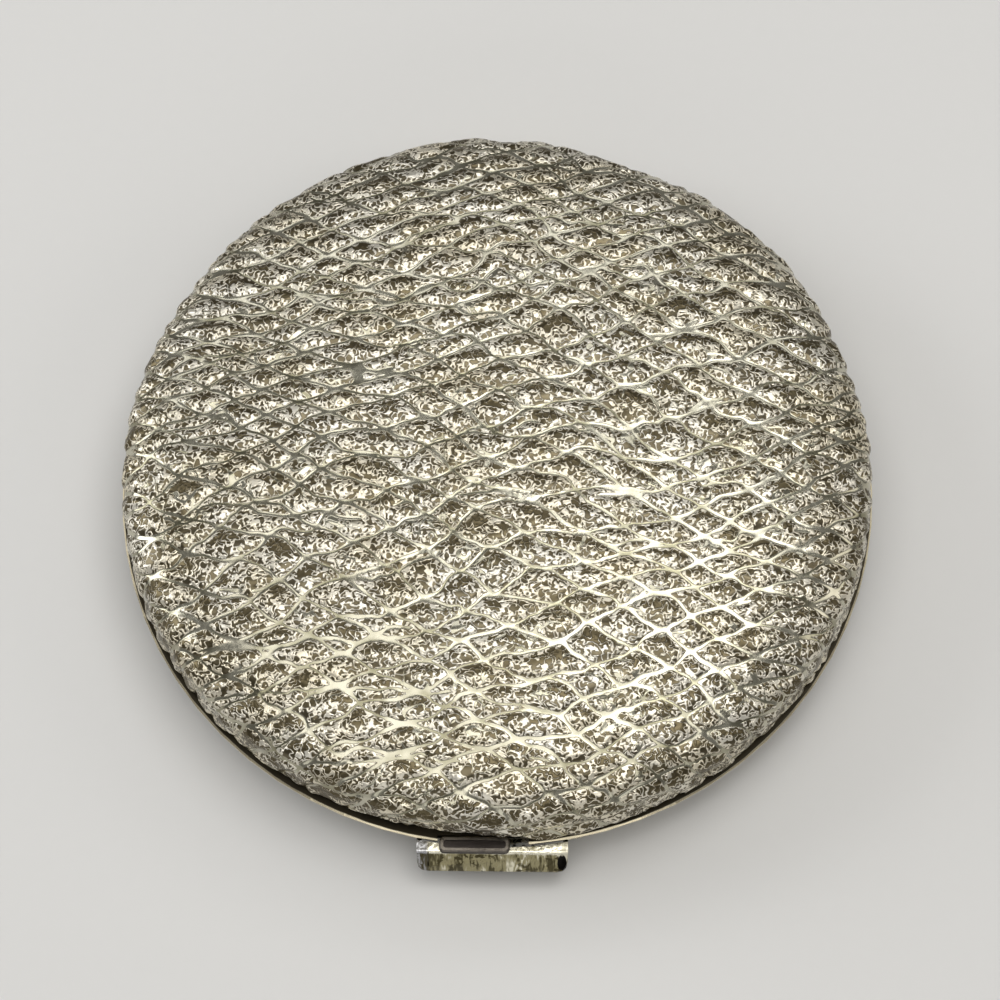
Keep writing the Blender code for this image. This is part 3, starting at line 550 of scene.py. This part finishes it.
def layered_noise(x, y, seed, layers=3):
    """Noise from 0 to 1 whose layers are each half as long and half as strong as the last."""
    total = sum(smooth_noise(x * 2**n, y * 2**n, seed + n) / 2**n for n in range(layers))
    return total / sum(1 / 2**n for n in range(layers))


def soft_step(value, low, high):
    """0 at low and 1 at high, with a smooth rise or fall between them."""
    share = np.clip((value - low) / (high - low), 0, 1)
    return share * share * (3 - 2 * share)


def line_family(x, y, lean, spacing, bends, seed):
    """A wave in metres that is 0 on each of a family of flowing lines and close to them is the
    distance from them, and where between two lines each place lies, from 0 to 1. Bends are pairs
    of a wave length and a strength in spacings."""
    def flow(u, v):
        value = (v * math.cos(lean) - u * math.sin(lean)) / spacing
        for number, (wave, strength) in enumerate(bends):
            value = value + strength * (smooth_noise(u / wave, v / wave, seed + number) - 0.5)
        return value

    step = 0.05 * MM
    here = flow(x, y)
    slope = np.hypot(flow(x + step, y) - here, flow(x, y + step) - here) / step
    return np.cos(math.pi * here) / (math.pi * np.maximum(slope, 0.5 / spacing)), (here + 0.5) % 1


def hide_relief(x, y, side, sizes, seed):
    """Height of the hide grain in metres, and the layers that its finish reads: the three waves of
    its channels in millimetres, how far the level ones are filled in, and its patches of painted
    shade from 0 to 1. Side is 0 on the crown and 1 on the wall, where the sheet is crumpled."""
    slope = math.atan(sizes.cell_height / sizes.cell_length)
    spacing = sizes.cell_height * math.cos(slope)
    bends = ((21 * MM, 1.6), (8 * MM, 0.75), (3.0 * MM, 0.36), (1.1 * MM, 0.10))
    rising, rising_part = line_family(x, y, slope * 0.85, spacing, bends, seed)
    falling, falling_part = line_family(x, y, -slope, spacing * 1.10, bends, seed + 100)
    bends = ((14 * MM, 0.8), (3.4 * MM, 0.30), (1.0 * MM, 0.06))
    level, _ = line_family(x, y, 0.08, 2.2 * sizes.cell_height, bends, seed + 200)
    filled = 2.2 * MM * soft_step(layered_noise(x / (6 * MM), y / (6 * MM), seed + 30), 0.46, 0.60)
    nearest = np.minimum(np.minimum(np.abs(rising), np.abs(falling)), np.abs(level) + filled)
    half_way_up = 0.48 * MM
    rise = nearest ** 4 / (nearest ** 4 + half_way_up ** 4)
    place = np.clip(rising_part + falling_part - 1, -1, 1)
    wrinkles = layered_noise(x / (1.0 * MM), y / (0.8 * MM), seed + 50, 2) - 0.5
    crumples = layered_noise(x / (2.2 * MM), y / (2.2 * MM), seed + 60, 3) - 0.5
    swell = layered_noise(x / (9 * MM), y / (7 * MM), seed + 70, 2) - 0.5
    height = sizes.pillow * rise * (1 - sizes.tilt * place) + sizes.swell * swell
    height += 2 * sizes.wrinkle * (wrinkles * rise + 5.0 * crumples * side)
    # Patches of painted shade: on the upper part of each cell, under the channel above it, and in the
    # crumple hollows of the wall.
    cloud = layered_noise(x / (1.5 * MM), y / (1.1 * MM), seed + 90, 2)
    patch = soft_step(place, -0.15, 0.40) * soft_step(rise, 0.15, 0.5) * soft_step(cloud, 0.34, 0.58)
    patch = np.maximum(patch, 0.8 * side * soft_step(crumples, -0.06, -0.20))
    layers = {"rising": rising / MM, "falling": falling / MM, "level": level / MM,
              "filled": filled / MM, "patch": patch}
    return height, layers


def arc_length(profile):
    """Running length along a profile of (radius, height) rows."""
    steps = np.hypot(*np.diff(profile, axis=0).T)
    return np.concatenate([[0.0], np.cumsum(steps)])


def lid_profile(radius, low, top):
    """Outer profile of the lid from its crown to its lower edge, as (radius, height) rows."""
    rise, power = 5.9 * MM, 2.5
    shoulder = top - rise
    angle = np.linspace(math.pi / 2, 0, PROFILE_STEPS)
    dome = np.column_stack([radius * np.cos(angle) ** (2 / power),
                            shoulder + rise * np.sin(angle) ** (2 / power)])
    dome[0] = (0.0, top)
    side = np.column_stack([np.full(60, radius), np.linspace(shoulder, low, 61)[1:]])
    return np.vstack([dome, side])


def base_profile(radius, low, high):
    """Outer profile of the base from the middle of its foot to its upper edge."""
    foot, rise = 30.0 * MM, 3.1 * MM
    flat = np.column_stack([np.linspace(0, foot, PROFILE_STEPS // 2), np.full(PROFILE_STEPS // 2, low)])
    angle = np.linspace(0, math.pi / 2, PROFILE_STEPS // 2)[1:]
    bowl = np.column_stack([foot + (radius - foot) * np.sin(angle), rise - (rise - low) * np.cos(angle)])
    side = np.column_stack([np.full(20, radius), np.linspace(rise, high, 21)[1:]])
    return np.vstack([flat, bowl, side])


def on_disc(places):
    """Angle and share of the radius, from a square grid of side 2 wrapped round a disc."""
    a, b = places[:, 0], places[:, 1]
    wide = np.abs(a) >= np.abs(b)
    longer, shorter = np.where(wide, a, b), np.where(wide, b, a)
    ratio = shorter / np.where(longer == 0, 1, longer)
    angle = np.where(wide, ratio, 2 - ratio) * math.pi / 4
    return angle + math.pi * (longer < 0), np.abs(longer)


def near(angle, middle, spread):
    """1 at an azimuth in degrees, falling to 0 about twice the spread away from it."""
    away = (np.degrees(angle) - middle + 180) % 360 - 180
    return np.exp(-(away / spread) ** 2)


def grained_sheet(profile, sizes, segments, seed, sink, dents=()):
    """A bmesh sheet that follows a turned profile, with the hide grain raised along its normal
    and the layers that its finish reads. Sink is how far the grain lies below the profile. A dent
    is an azimuth and a spread in degrees, a push outwards and a lift of the lower edge in
    millimetres."""
    shape = bmesh.new()
    bmesh.ops.create_grid(shape, x_segments=segments, y_segments=segments, size=1.0)
    angle, share = on_disc(coordinates(shape))
    run = arc_length(profile)
    reach = share * run[-1]
    radius = np.interp(reach, run, profile[:, 0])
    height = np.interp(reach, run, profile[:, 1])
    tangent = np.gradient(profile, run, axis=0) * (1 if profile[0, 1] > profile[-1, 1] else -1)
    out_r = np.interp(reach, run, -tangent[:, 1])
    out_z = np.interp(reach, run, tangent[:, 0])
    scale = np.hypot(out_r, out_z)
    x, y = reach * np.cos(angle), reach * np.sin(angle)
    side = soft_step(out_r / scale, 0.35, 0.8)
    relief, layers = hide_relief(x, y, side, sizes, seed)
    relief -= sink
    radius = radius + relief * out_r / scale
    height = height + relief * out_z / scale
    for middle, spread, push, lift in dents:
        dent = near(angle, middle, spread)
        reached = soft_step(share, 0.96, 1.0) if lift else soft_step(share, 0.80, 0.92)
        radius = radius + push * MM * dent * reached
        height = height + lift * MM * dent * reached
    move_to(shape, np.column_stack([radius * np.cos(angle), radius * np.sin(angle), height]))
    store(shape, layers)
    return shape


def store(shape, values):
    """Keeps arrays of one value to the vertex as layers of a bmesh."""
    for name, array in values.items():
        layer = shape.verts.layers.float.new(name)
        for vert, value in zip(shape.verts, array):
            vert[layer] = value


def lined(shape, inner_profile):
    """Closes a sheet with an inner wall: rings of (radius, height) from its edge, and a cap."""
    edge = [e for e in shape.edges if e.is_boundary]
    for radius, height in inner_profile:
        made = bmesh.ops.extrude_edge_only(shape, edges=edge)["geom"]
        ring = [item for item in made if isinstance(item, bmesh.types.BMVert)]
        for vert in ring:
            flat = Vector((vert.co.x, vert.co.y, 0)).normalized() * radius
            vert.co = (flat.x, flat.y, height if height is not None else vert.co.z)
        edge = [item for item in made if isinstance(item, bmesh.types.BMEdge)]
    bmesh.ops.contextual_create(shape, geom=edge)
    bmesh.ops.recalc_face_normals(shape, faces=shape.faces)


def turned_edges(shape, chosen, width, segments=3):
    """Rounds the sharp outer edges of a bmesh whose middle passes a test."""
    edges = [e for e in shape.edges if e.is_manifold and e.calc_face_angle_signed(0) > math.radians(20)
             and chosen((e.verts[0].co + e.verts[1].co) / 2, (e.verts[0].co - e.verts[1].co).normalized())]
    bmesh.ops.bevel(shape, geom=edges, offset=width, offset_type="OFFSET", affect="EDGES",
                    segments=segments, profile=0.5, material=-1, clamp_overlap=True)


def copied(name):
    """A merged copy of a solid's mesh with its flat faces joined."""
    shape = bmesh.new()
    shape.from_mesh(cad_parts[name].data)
    bmesh.ops.remove_doubles(shape, verts=shape.verts, dist=MERGE_DISTANCE)
    bmesh.ops.dissolve_limit(shape, angle_limit=math.radians(0.5), verts=shape.verts, edges=shape.edges)
    return shape


def cutter(name, low, high, turn=0.0, oval=False):
    """A hidden box, or an oval that fills one, that cuts a notch; turned about X by an angle."""
    shape = bmesh.new()
    low, high = Vector(low), Vector(high)
    matrix = Matrix.Translation((low + high) / 2) @ Matrix.Rotation(turn, 4, "X")
    matrix = matrix @ Matrix.Diagonal((*(high - low), 1))
    if oval:
        bmesh.ops.create_uvsphere(shape, u_segments=32, v_segments=16, radius=0.5, matrix=matrix)
    else:
        bmesh.ops.create_cube(shape, size=1, matrix=matrix)
    return linked(name, meshed(name, shape))


def cut(obj, *cutters):
    """Cuts the cutters out of a piece for good, and removes them."""
    for tool in cutters:
        modifier = obj.modifiers.new(tool.name, "BOOLEAN")
        modifier.operation = "DIFFERENCE"
        modifier.solver = "EXACT"
        modifier.object = tool
    mesh = applied(obj)
    obj.modifiers.clear()
    old, obj.data = obj.data, mesh
    mesh.name = obj.name
    bpy.data.meshes.remove(old)
    for tool in cutters:
        bpy.data.objects.remove(tool, do_unlink=True)


def materials():
    """The finishes, made once and kept by name."""
    scene = bpy.context.scene
    colours, sizes = scene.compact_colours, scene.compact_hide
    makers = {
        "hide_gilt": lambda: hide_gilt(colours, sizes),
        "bright_gilt": lambda: bright_gilt(colours),
        "rim_gilt": lambda: rim_gilt(colours),
        "worn_brass": lambda: worn_brass(colours),
        "dark_metal": lambda: dark_metal(colours),
        "drawn_steel": drawn_steel,
        "pan_tin": pan_tin,
        "face_powder": lambda: face_powder(colours),
        "silvered_glass": silvered_glass,
        "felt_board": felt_board,
        "velour": lambda: velour(colours),
        "satin": lambda: satin(colours),
    }
    return {name: bpy.data.materials.get("finish_" + name) or make() for name, make in makers.items()}


class COMPACT_OT_lid(bpy.types.Operator):
    """Domed lid pressed in the hide grain, slightly dented, with its notch for the hinge"""
    bl_idname = "compact.lid"
    bl_label = "Lid"

    def execute(self, context):
        sizes = context.scene.compact_hide
        wall, inner_drop, open_radius = 0.6 * MM, 0.2 * MM, 20 * MM
        notch_depth, notch_rise = 2.6 * MM, 1.2 * MM
        radius, low, top = LID_HIGH_CORNER.x, LID_LOW_CORNER.z, LID_HIGH_CORNER.z
        profile = lid_profile(radius, low, top)
        dents = ((100, 8, 0.42, 0), (70, 9, -0.50, 0), (150, 10, -0.26, 0), (20, 8, -0.36, 0),
                 (-97, 10, -0.30, 0.75), (-78, 9, 0.38, -0.15))
        shape = grained_sheet(profile, sizes, segments=286, seed=3, sink=0.16 * MM, dents=dents)
        inside = profile[::-1][40::90]
        inner = [(radius - wall, None)]
        inner += [(max(r - wall, 0), min(z, top - wall) - inner_drop) for r, z in inside if r > open_radius]
        lined(shape, inner)
        lid = piece("lid_hide", shape, materials()["hide_gilt"], "lid", "lid_shell")
        half = PIN_HIGH_CORNER.x + RUN_GAP
        cut(lid, cutter("hinge_notch", (-half, radius - notch_depth, low - CUT_OVERRUN),
                        (half, radius + CUT_OVERRUN, HINGE_HEIGHT + notch_rise)))
        return {"FINISHED"}


class COMPACT_OT_base(bpy.types.Operator):
    """Base bowl pressed in the hide grain, standing on the tops of its cells"""
    bl_idname = "compact.base"
    bl_label = "Base"

    def execute(self, context):
        sizes = context.scene.compact_hide
        wall, inner_rise, open_radius = 0.5 * MM, 0.6 * MM, 28 * MM
        radius, low, high = BASE_HIGH_CORNER.x, BASE_LOW_CORNER.z, BASE_HIGH_CORNER.z
        profile = base_profile(radius, low, high)
        shape = grained_sheet(profile, sizes, segments=240, seed=47, sink=0.34 * MM)
        inside = profile[::-1][10::60]
        inner = [(radius - wall, high)]
        inner += [(r - wall, max(z, low) + inner_rise) for r, z in inside if r > open_radius]
        lined(shape, inner)
        piece("base_hide", shape, materials()["hide_gilt"], "base", "base_shell")
        return {"FINISHED"}


class COMPACT_OT_catch(bpy.types.Operator):
    """Catch bar with rubbed edges, a scored left end and a hollow right end"""
    bl_idname = "compact.catch"
    bl_label = "Catch"

    def execute(self, context):
        corner_round, end_round = 0.22 * MM, 0.08 * MM
        high = BAR_HIGH_CORNER.z
        shape = copied("catch_housing")
        turned_edges(shape, lambda middle, way: abs(way.x) > 0.9 and middle.z > high - 0.01 * MM
                     and middle.y < BAR_LEDGE + 0.05 * MM, corner_round, segments=4)
        turned_edges(shape, lambda middle, way: middle.y < BAR_LEDGE - 0.2 * MM
                     and middle.z < high - 0.3 * MM and abs(way.x) > 0.9, end_round)
        bar = piece("catch_bar", shape, materials()["worn_brass"], "base", "catch_housing")

        # The cutters' own Z runs up the sloping face
        middle = (BAR_LOW_CORNER + Vector((0, BAR_LEDGE, high))) / 2
        middle.x = 0
        turn = BAR_SLOPE - math.pi / 2
        score_half = Vector((0.07 * MM, 0.14 * MM, 2 * MM))
        score_middle = middle + Vector((SCORE_MIDDLE * BAR_HALF, 0, 0))
        score = cutter("score", score_middle - score_half, score_middle + score_half, turn)
        hollow_low = Vector((HOLLOW_LEFT * BAR_HALF, -0.35 * MM, -1.15 * MM))
        hollow_high = Vector((HOLLOW_RIGHT * BAR_HALF, 0.35 * MM, 1.35 * MM))
        hollow = cutter("hollow", middle + hollow_low, middle + hollow_high, turn, oval=True)
        cut(bar, score, hollow)
        return {"FINISHED"}


def pad_blank(radius, low, high, power):
    """A closed disc as a bmesh, crowned above and below."""
    middle, half = (low + high) / 2, (high - low) / 2
    angle = np.linspace(-math.pi / 2, math.pi / 2, 60)
    reach = radius * np.cos(angle) ** (2 / power)
    height = middle + half * np.sign(angle) * np.abs(np.sin(angle)) ** (2 / power)
    reach[0] = reach[-1] = 0.0
    shape = bmesh.new()
    verts = [shape.verts.new((r, 0, z)) for r, z in zip(reach, height)]
    edges = [shape.edges.new(pair) for pair in zip(verts, verts[1:])]
    bmesh.ops.spin(shape, geom=verts + edges, cent=(0, 0, 0), axis=(0, 0, 1),
                   angle=2 * math.pi, steps=160, use_merge=True)
    bmesh.ops.remove_doubles(shape, verts=shape.verts, dist=MERGE_DISTANCE)
    bmesh.ops.recalc_face_normals(shape, faces=shape.faces)
    return shape


def places_of(mesh):
    """Places of a mesh's vertices as an array of rows."""
    places = np.zeros(len(mesh.vertices) * 3)
    mesh.vertices.foreach_get("co", places)
    return places.reshape(-1, 3)


def inflated(shape, sizes, held, scale=10.0):
    """A bmesh of evenly spaced faces from a closed one, swollen as cloth under pressure. The places
    that held picks stay put. It runs ten times larger, where the solver's steps fit the cloth."""
    mesh = meshed("pad_blank", shape)
    mesh.transform(Matrix.Scale(scale, 4))
    pad = linked("pad_blank", mesh)
    remesh = pad.modifiers.new("remesh", "REMESH")
    remesh.mode = "VOXEL"
    remesh.voxel_size = sizes.voxel * scale
    even = applied(pad)
    pad.modifiers.clear()
    pad.data = even
    start = places_of(even)
    group = pad.vertex_groups.new(name="held")
    group.add([int(i) for i in np.flatnonzero(held(start / scale))], 1.0, "REPLACE")
    cloth = pad.modifiers.new("cloth", "CLOTH")
    cloth.settings.quality = 6
    cloth.settings.use_pressure = True
    cloth.settings.uniform_pressure_force = 4
    cloth.settings.effector_weights.gravity = 0
    cloth.settings.shrink_min = -0.06
    cloth.settings.vertex_group_mass = "held"
    cloth.collision_settings.use_collision = False
    for number in range(1, CLOTH_FRAMES + 1):
        bpy.context.scene.frame_set(number)
    moved = places_of(applied(pad)) - start
    far = np.linalg.norm(moved, axis=1, keepdims=True)
    start = start + moved * np.minimum(1, sizes.cap * scale / np.maximum(far, 1e-9))
    pad.modifiers.clear()
    swollen = bmesh.new()
    swollen.from_mesh(even)
    bpy.data.objects.remove(pad, do_unlink=True)
    move_to(swollen, start / scale)
    bmesh.ops.subdivide_edges(swollen, edges=swollen.edges, cuts=1, use_grid_fill=True, smooth=0.6)
    return swollen


class COMPACT_OT_puff(bpy.types.Operator):
    """Velour puff sewn from two discs, and the satin ribbon stitched across it"""
    bl_idname = "compact.puff"
    bl_label = "Puff"

    def execute(self, context):
        sizes = context.scene.compact_puff
        shape = self.pad(sizes)
        tree = BVHTree.FromBMesh(shape)
        pad = piece("puff_velour", shape, materials()["velour"], "base", "puff_pad")
        self.ribbon(tree, pad, sizes)
        return {"FINISHED"}

    def pad(self, sizes):
        """The pad as a bmesh, inside the solid that it stands for."""
        radius, low, high = PUFF_HIGH_CORNER.x, PUFF_LOW_CORNER.z, PUFF_HIGH_CORNER.z
        half, reach = RIBBON_HIGH_CORNER.x, RIBBON_HIGH_CORNER.y
        middle = (low + high) / 2
        edge_room, swelling, sewn_width, clearance = 0.1 * MM, 0.25 * MM, 0.9 * MM, 0.02 * MM
        blank = pad_blank(radius - edge_room, low + swelling, high - swelling, sizes.pillow_power)
        shape = inflated(blank, sizes, lambda p: np.hypot(p[:, 0], p[:, 1]) > radius - sewn_width)
        x, y, z = coordinates(shape).T
        out, angle = np.hypot(x, y), np.arctan2(y, x)

        # Puckers along the seam
        rim = np.exp(-((radius - out) / (2.6 * MM)) ** 2)
        ripple = smooth_noise(angle * 9 + 40, np.zeros_like(angle), 5) * 2 - 1
        ripple = np.sin(46 * angle + 2.5 * ripple)
        z = z - (z - middle) / (high - middle) * sizes.pucker * rim * (1 + ripple)

        # Seam drawn in all round
        drawn_in = sizes.seam * np.exp(-((z - middle) / (0.35 * MM)) ** 2)
        drawn_in = drawn_in * soft_step(out, radius - 1.2 * MM, radius - 0.5 * MM)

        # Hollow under the ribbon, and the uneven nap
        band = np.exp(-(x / (half + 0.5 * MM)) ** 6)
        band = band * soft_step(np.abs(y), reach + 2.0 * MM, reach - 3.0 * MM)
        band = band * soft_step(z, middle, high - 0.5 * MM)
        nap = layered_noise(x / (5 * MM) + 30, y / (5 * MM) + 30, 12, 2) - 0.5
        z = z - sizes.press * band + 0.25 * MM * nap * soft_step(np.abs(z - middle), 0.6 * MM, 1.6 * MM)

        # Kept just inside the solid
        z = middle + (z - middle) * min(1.0, (high - middle - clearance) / np.abs(z - middle).max())
        far = np.maximum(out, 1e-9)
        share = np.minimum((out - drawn_in) / far, (radius - clearance) / far)
        move_to(shape, np.column_stack([x * share, y * share, z]))
        return shape

    def ribbon(self, tree, pad, sizes):
        """Lays the band over the pad from side to side and sews its two ends down."""
        def top(x, y):
            return tree.ray_cast(Vector((x, y, start)), Vector((0, 0, -1)))[0].z

        half, reach = RIBBON_HIGH_CORNER.x, RIBBON_HIGH_CORNER.y
        start = PUFF_HIGH_CORNER.z + 5 * MM
        across, along = 14, 96
        clearance, wave = 0.06 * MM, 0.05 * MM
        xs = np.linspace(-half, half, along + 1)
        ys = np.linspace(-reach, reach, across + 1)
        crest = np.array([[top(x, y) for y in ys] for x in xs]).max(axis=1)
        taut = np.maximum(crest, np.convolve(np.pad(crest, 4, "edge"), np.ones(9) / 9, "valid"))
        lift = taut[:, None] + clearance + wave * np.sin(ys / reach * 4.2)[None, :] ** 2
        shape = bmesh.new()
        bmesh.ops.create_grid(shape, x_segments=along, y_segments=across, size=1.0)
        shares = (coordinates(shape) + 1) / 2
        column = np.rint(shares[:, 0] * along).astype(int)
        row = np.rint(shares[:, 1] * across).astype(int)
        move_to(shape, np.column_stack([xs[column], ys[row], lift[column, row]]))
        made = bmesh.ops.extrude_face_region(shape, geom=shape.faces[:])["geom"]
        bmesh.ops.translate(shape, verts=[v for v in made if isinstance(v, bmesh.types.BMVert)],
                            vec=(0, 0, sizes.ribbon))
        bmesh.ops.recalc_face_normals(shape, faces=shape.faces)
        stitches = bmesh.new()
        stitch = Matrix.Diagonal((0.13 * MM, sizes.stitch / 2, 0.11 * MM, 1))
        for column in (2, along - 2):
            for row in range(1, across):
                place = Vector((xs[column], ys[row], lift[column, row] + sizes.ribbon))
                matrix = Matrix.Translation(place) @ stitch
                bmesh.ops.create_icosphere(stitches, subdivisions=2, radius=1.0, matrix=matrix)
        mesh = meshed("ribbon_stitches", stitches)
        mesh.materials.append(materials()["velour"])
        mesh.shade_smooth()
        sewing = linked("ribbon_stitches", mesh)
        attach(sewing, "base")
        band = piece("puff_band", shape, materials()["satin"], "base", "puff_ribbon")


class COMPACT_OT_fittings(bpy.types.Operator):
    """Finishes of the rings, hinge, catch, mirror, pan and powder that keep their solid shape"""
    bl_idname = "compact.fittings"
    bl_label = "Fittings"

    def execute(self, context):
        finish = materials()
        keep("rim_frame", finish["rim_gilt"])
        for name in ("powder_tray", "pan_keeper", "base_hinge", "mirror_frame",
                     "lid_hinge", "lid_tongue"):
            keep(name, finish["bright_gilt"])
        for name in ("hinge_pin", "slide_spring"):
            keep(name, finish["drawn_steel"])
        for name in ("slide_bolt", "slide_button"):
            keep(name, finish["dark_metal"])
        keep("powder_pan", finish["pan_tin"])
        keep("powder_cake", finish["face_powder"])
        keep("mirror", finish["silvered_glass"])
        keep("mirror_backing", finish["felt_board"])
        return {"FINISHED"}


def area_light(name, place, size, power, tint):
    """A rectangular light that faces the origin."""
    data = bpy.data.lights.new(name, "AREA")
    data.shape = "RECTANGLE"
    data.size, data.size_y = size
    data.energy = power
    data.color = tint
    light = linked(name, data)
    light.location = place
    light.rotation_mode = "QUATERNION"
    light.rotation_quaternion = (Vector() - Vector(place)).to_track_quat("-Z", "Y")


class COMPACT_OT_stage(bpy.types.Operator):
    """Plain pale floor, soft light and a camera at the photo's angle"""
    bl_idname = "compact.stage"
    bl_label = "Stage"

    def execute(self, context):
        settings = context.scene.compact_stage
        shape = bmesh.new()
        bmesh.ops.create_grid(shape, x_segments=1, y_segments=1, size=2.0)
        mesh = meshed("floor", shape)
        mesh.materials.append(floor_paint(settings))
        floor = linked("floor", mesh)

        world = bpy.data.worlds.new("studio")
        world.use_nodes = True
        background = world.node_tree.nodes["Background"]
        background.inputs["Color"].default_value = (0.92, 0.91, 0.90, 1)
        background.inputs["Strength"].default_value = 0.24
        context.scene.world = world
        for light in LIGHTS:
            area_light(*light)
        context.scene.view_settings.view_transform = "Standard"

        seam = Vector((0, 0, HINGE_HEIGHT))
        az, el = settings.azimuth, settings.elevation
        back = Vector((math.sin(az) * math.cos(el), -math.cos(az) * math.cos(el), math.sin(el)))
        data = bpy.data.cameras.new("camera")
        data.sensor_width = 36
        data.lens = settings.lens
        data.clip_start, data.clip_end = 0.01, 10
        camera = linked("camera", data)
        camera.rotation_mode = "QUATERNION"
        roll = Quaternion(back, -settings.roll)
        camera.rotation_quaternion = roll @ (-back).to_track_quat("-Z", "Y")
        right = camera.rotation_quaternion @ Vector((1, 0, 0))
        up = camera.rotation_quaternion @ Vector((0, 1, 0))
        aim = seam + right * settings.aim_right - up * settings.aim_down
        camera.location = aim + back * settings.distance
        context.scene.camera = camera
        return {"FINISHED"}


class COMPACT_PT_panel(bpy.types.Panel):
    """Sizes, colours and pieces of the compact"""
    bl_label = "Compact"
    bl_idname = "COMPACT_PT_panel"
    bl_space_type = "VIEW_3D"
    bl_region_type = "UI"
    bl_category = "Compact"

    def draw(self, context):
        for group_name in GROUPS:
            group = getattr(context.scene, group_name)
            box = self.layout.box()
            for name in group.bl_rna.properties.keys():
                if name not in ("rna_type", "name"):
                    box.prop(group, name)
        for step in STEPS:
            self.layout.operator(step.bl_idname)


GROUPS = {"compact_hide": HideSizes, "compact_puff": PuffSizes, "compact_colours": CompactColours,
          "compact_stage": StageSettings}
STEPS = (COMPACT_OT_lid, COMPACT_OT_base, COMPACT_OT_catch, COMPACT_OT_puff, COMPACT_OT_fittings,
         COMPACT_OT_stage)
CLASSES = (*GROUPS.values(), *STEPS, COMPACT_PT_panel)


def register():
    for cls in CLASSES:
        bpy.utils.register_class(cls)
    for name, group in GROUPS.items():
        setattr(bpy.types.Scene, name, bpy.props.PointerProperty(type=group))


def unregister():
    for name in GROUPS:
        delattr(bpy.types.Scene, name)
    for cls in reversed(CLASSES):
        bpy.utils.unregister_class(cls)


def main():
    register()
    for step in STEPS:
        area, name = step.bl_idname.split(".")
        getattr(getattr(bpy.ops, area), name)()
    bpy.context.view_layer.update()


if __name__ == "__main__":
    main()
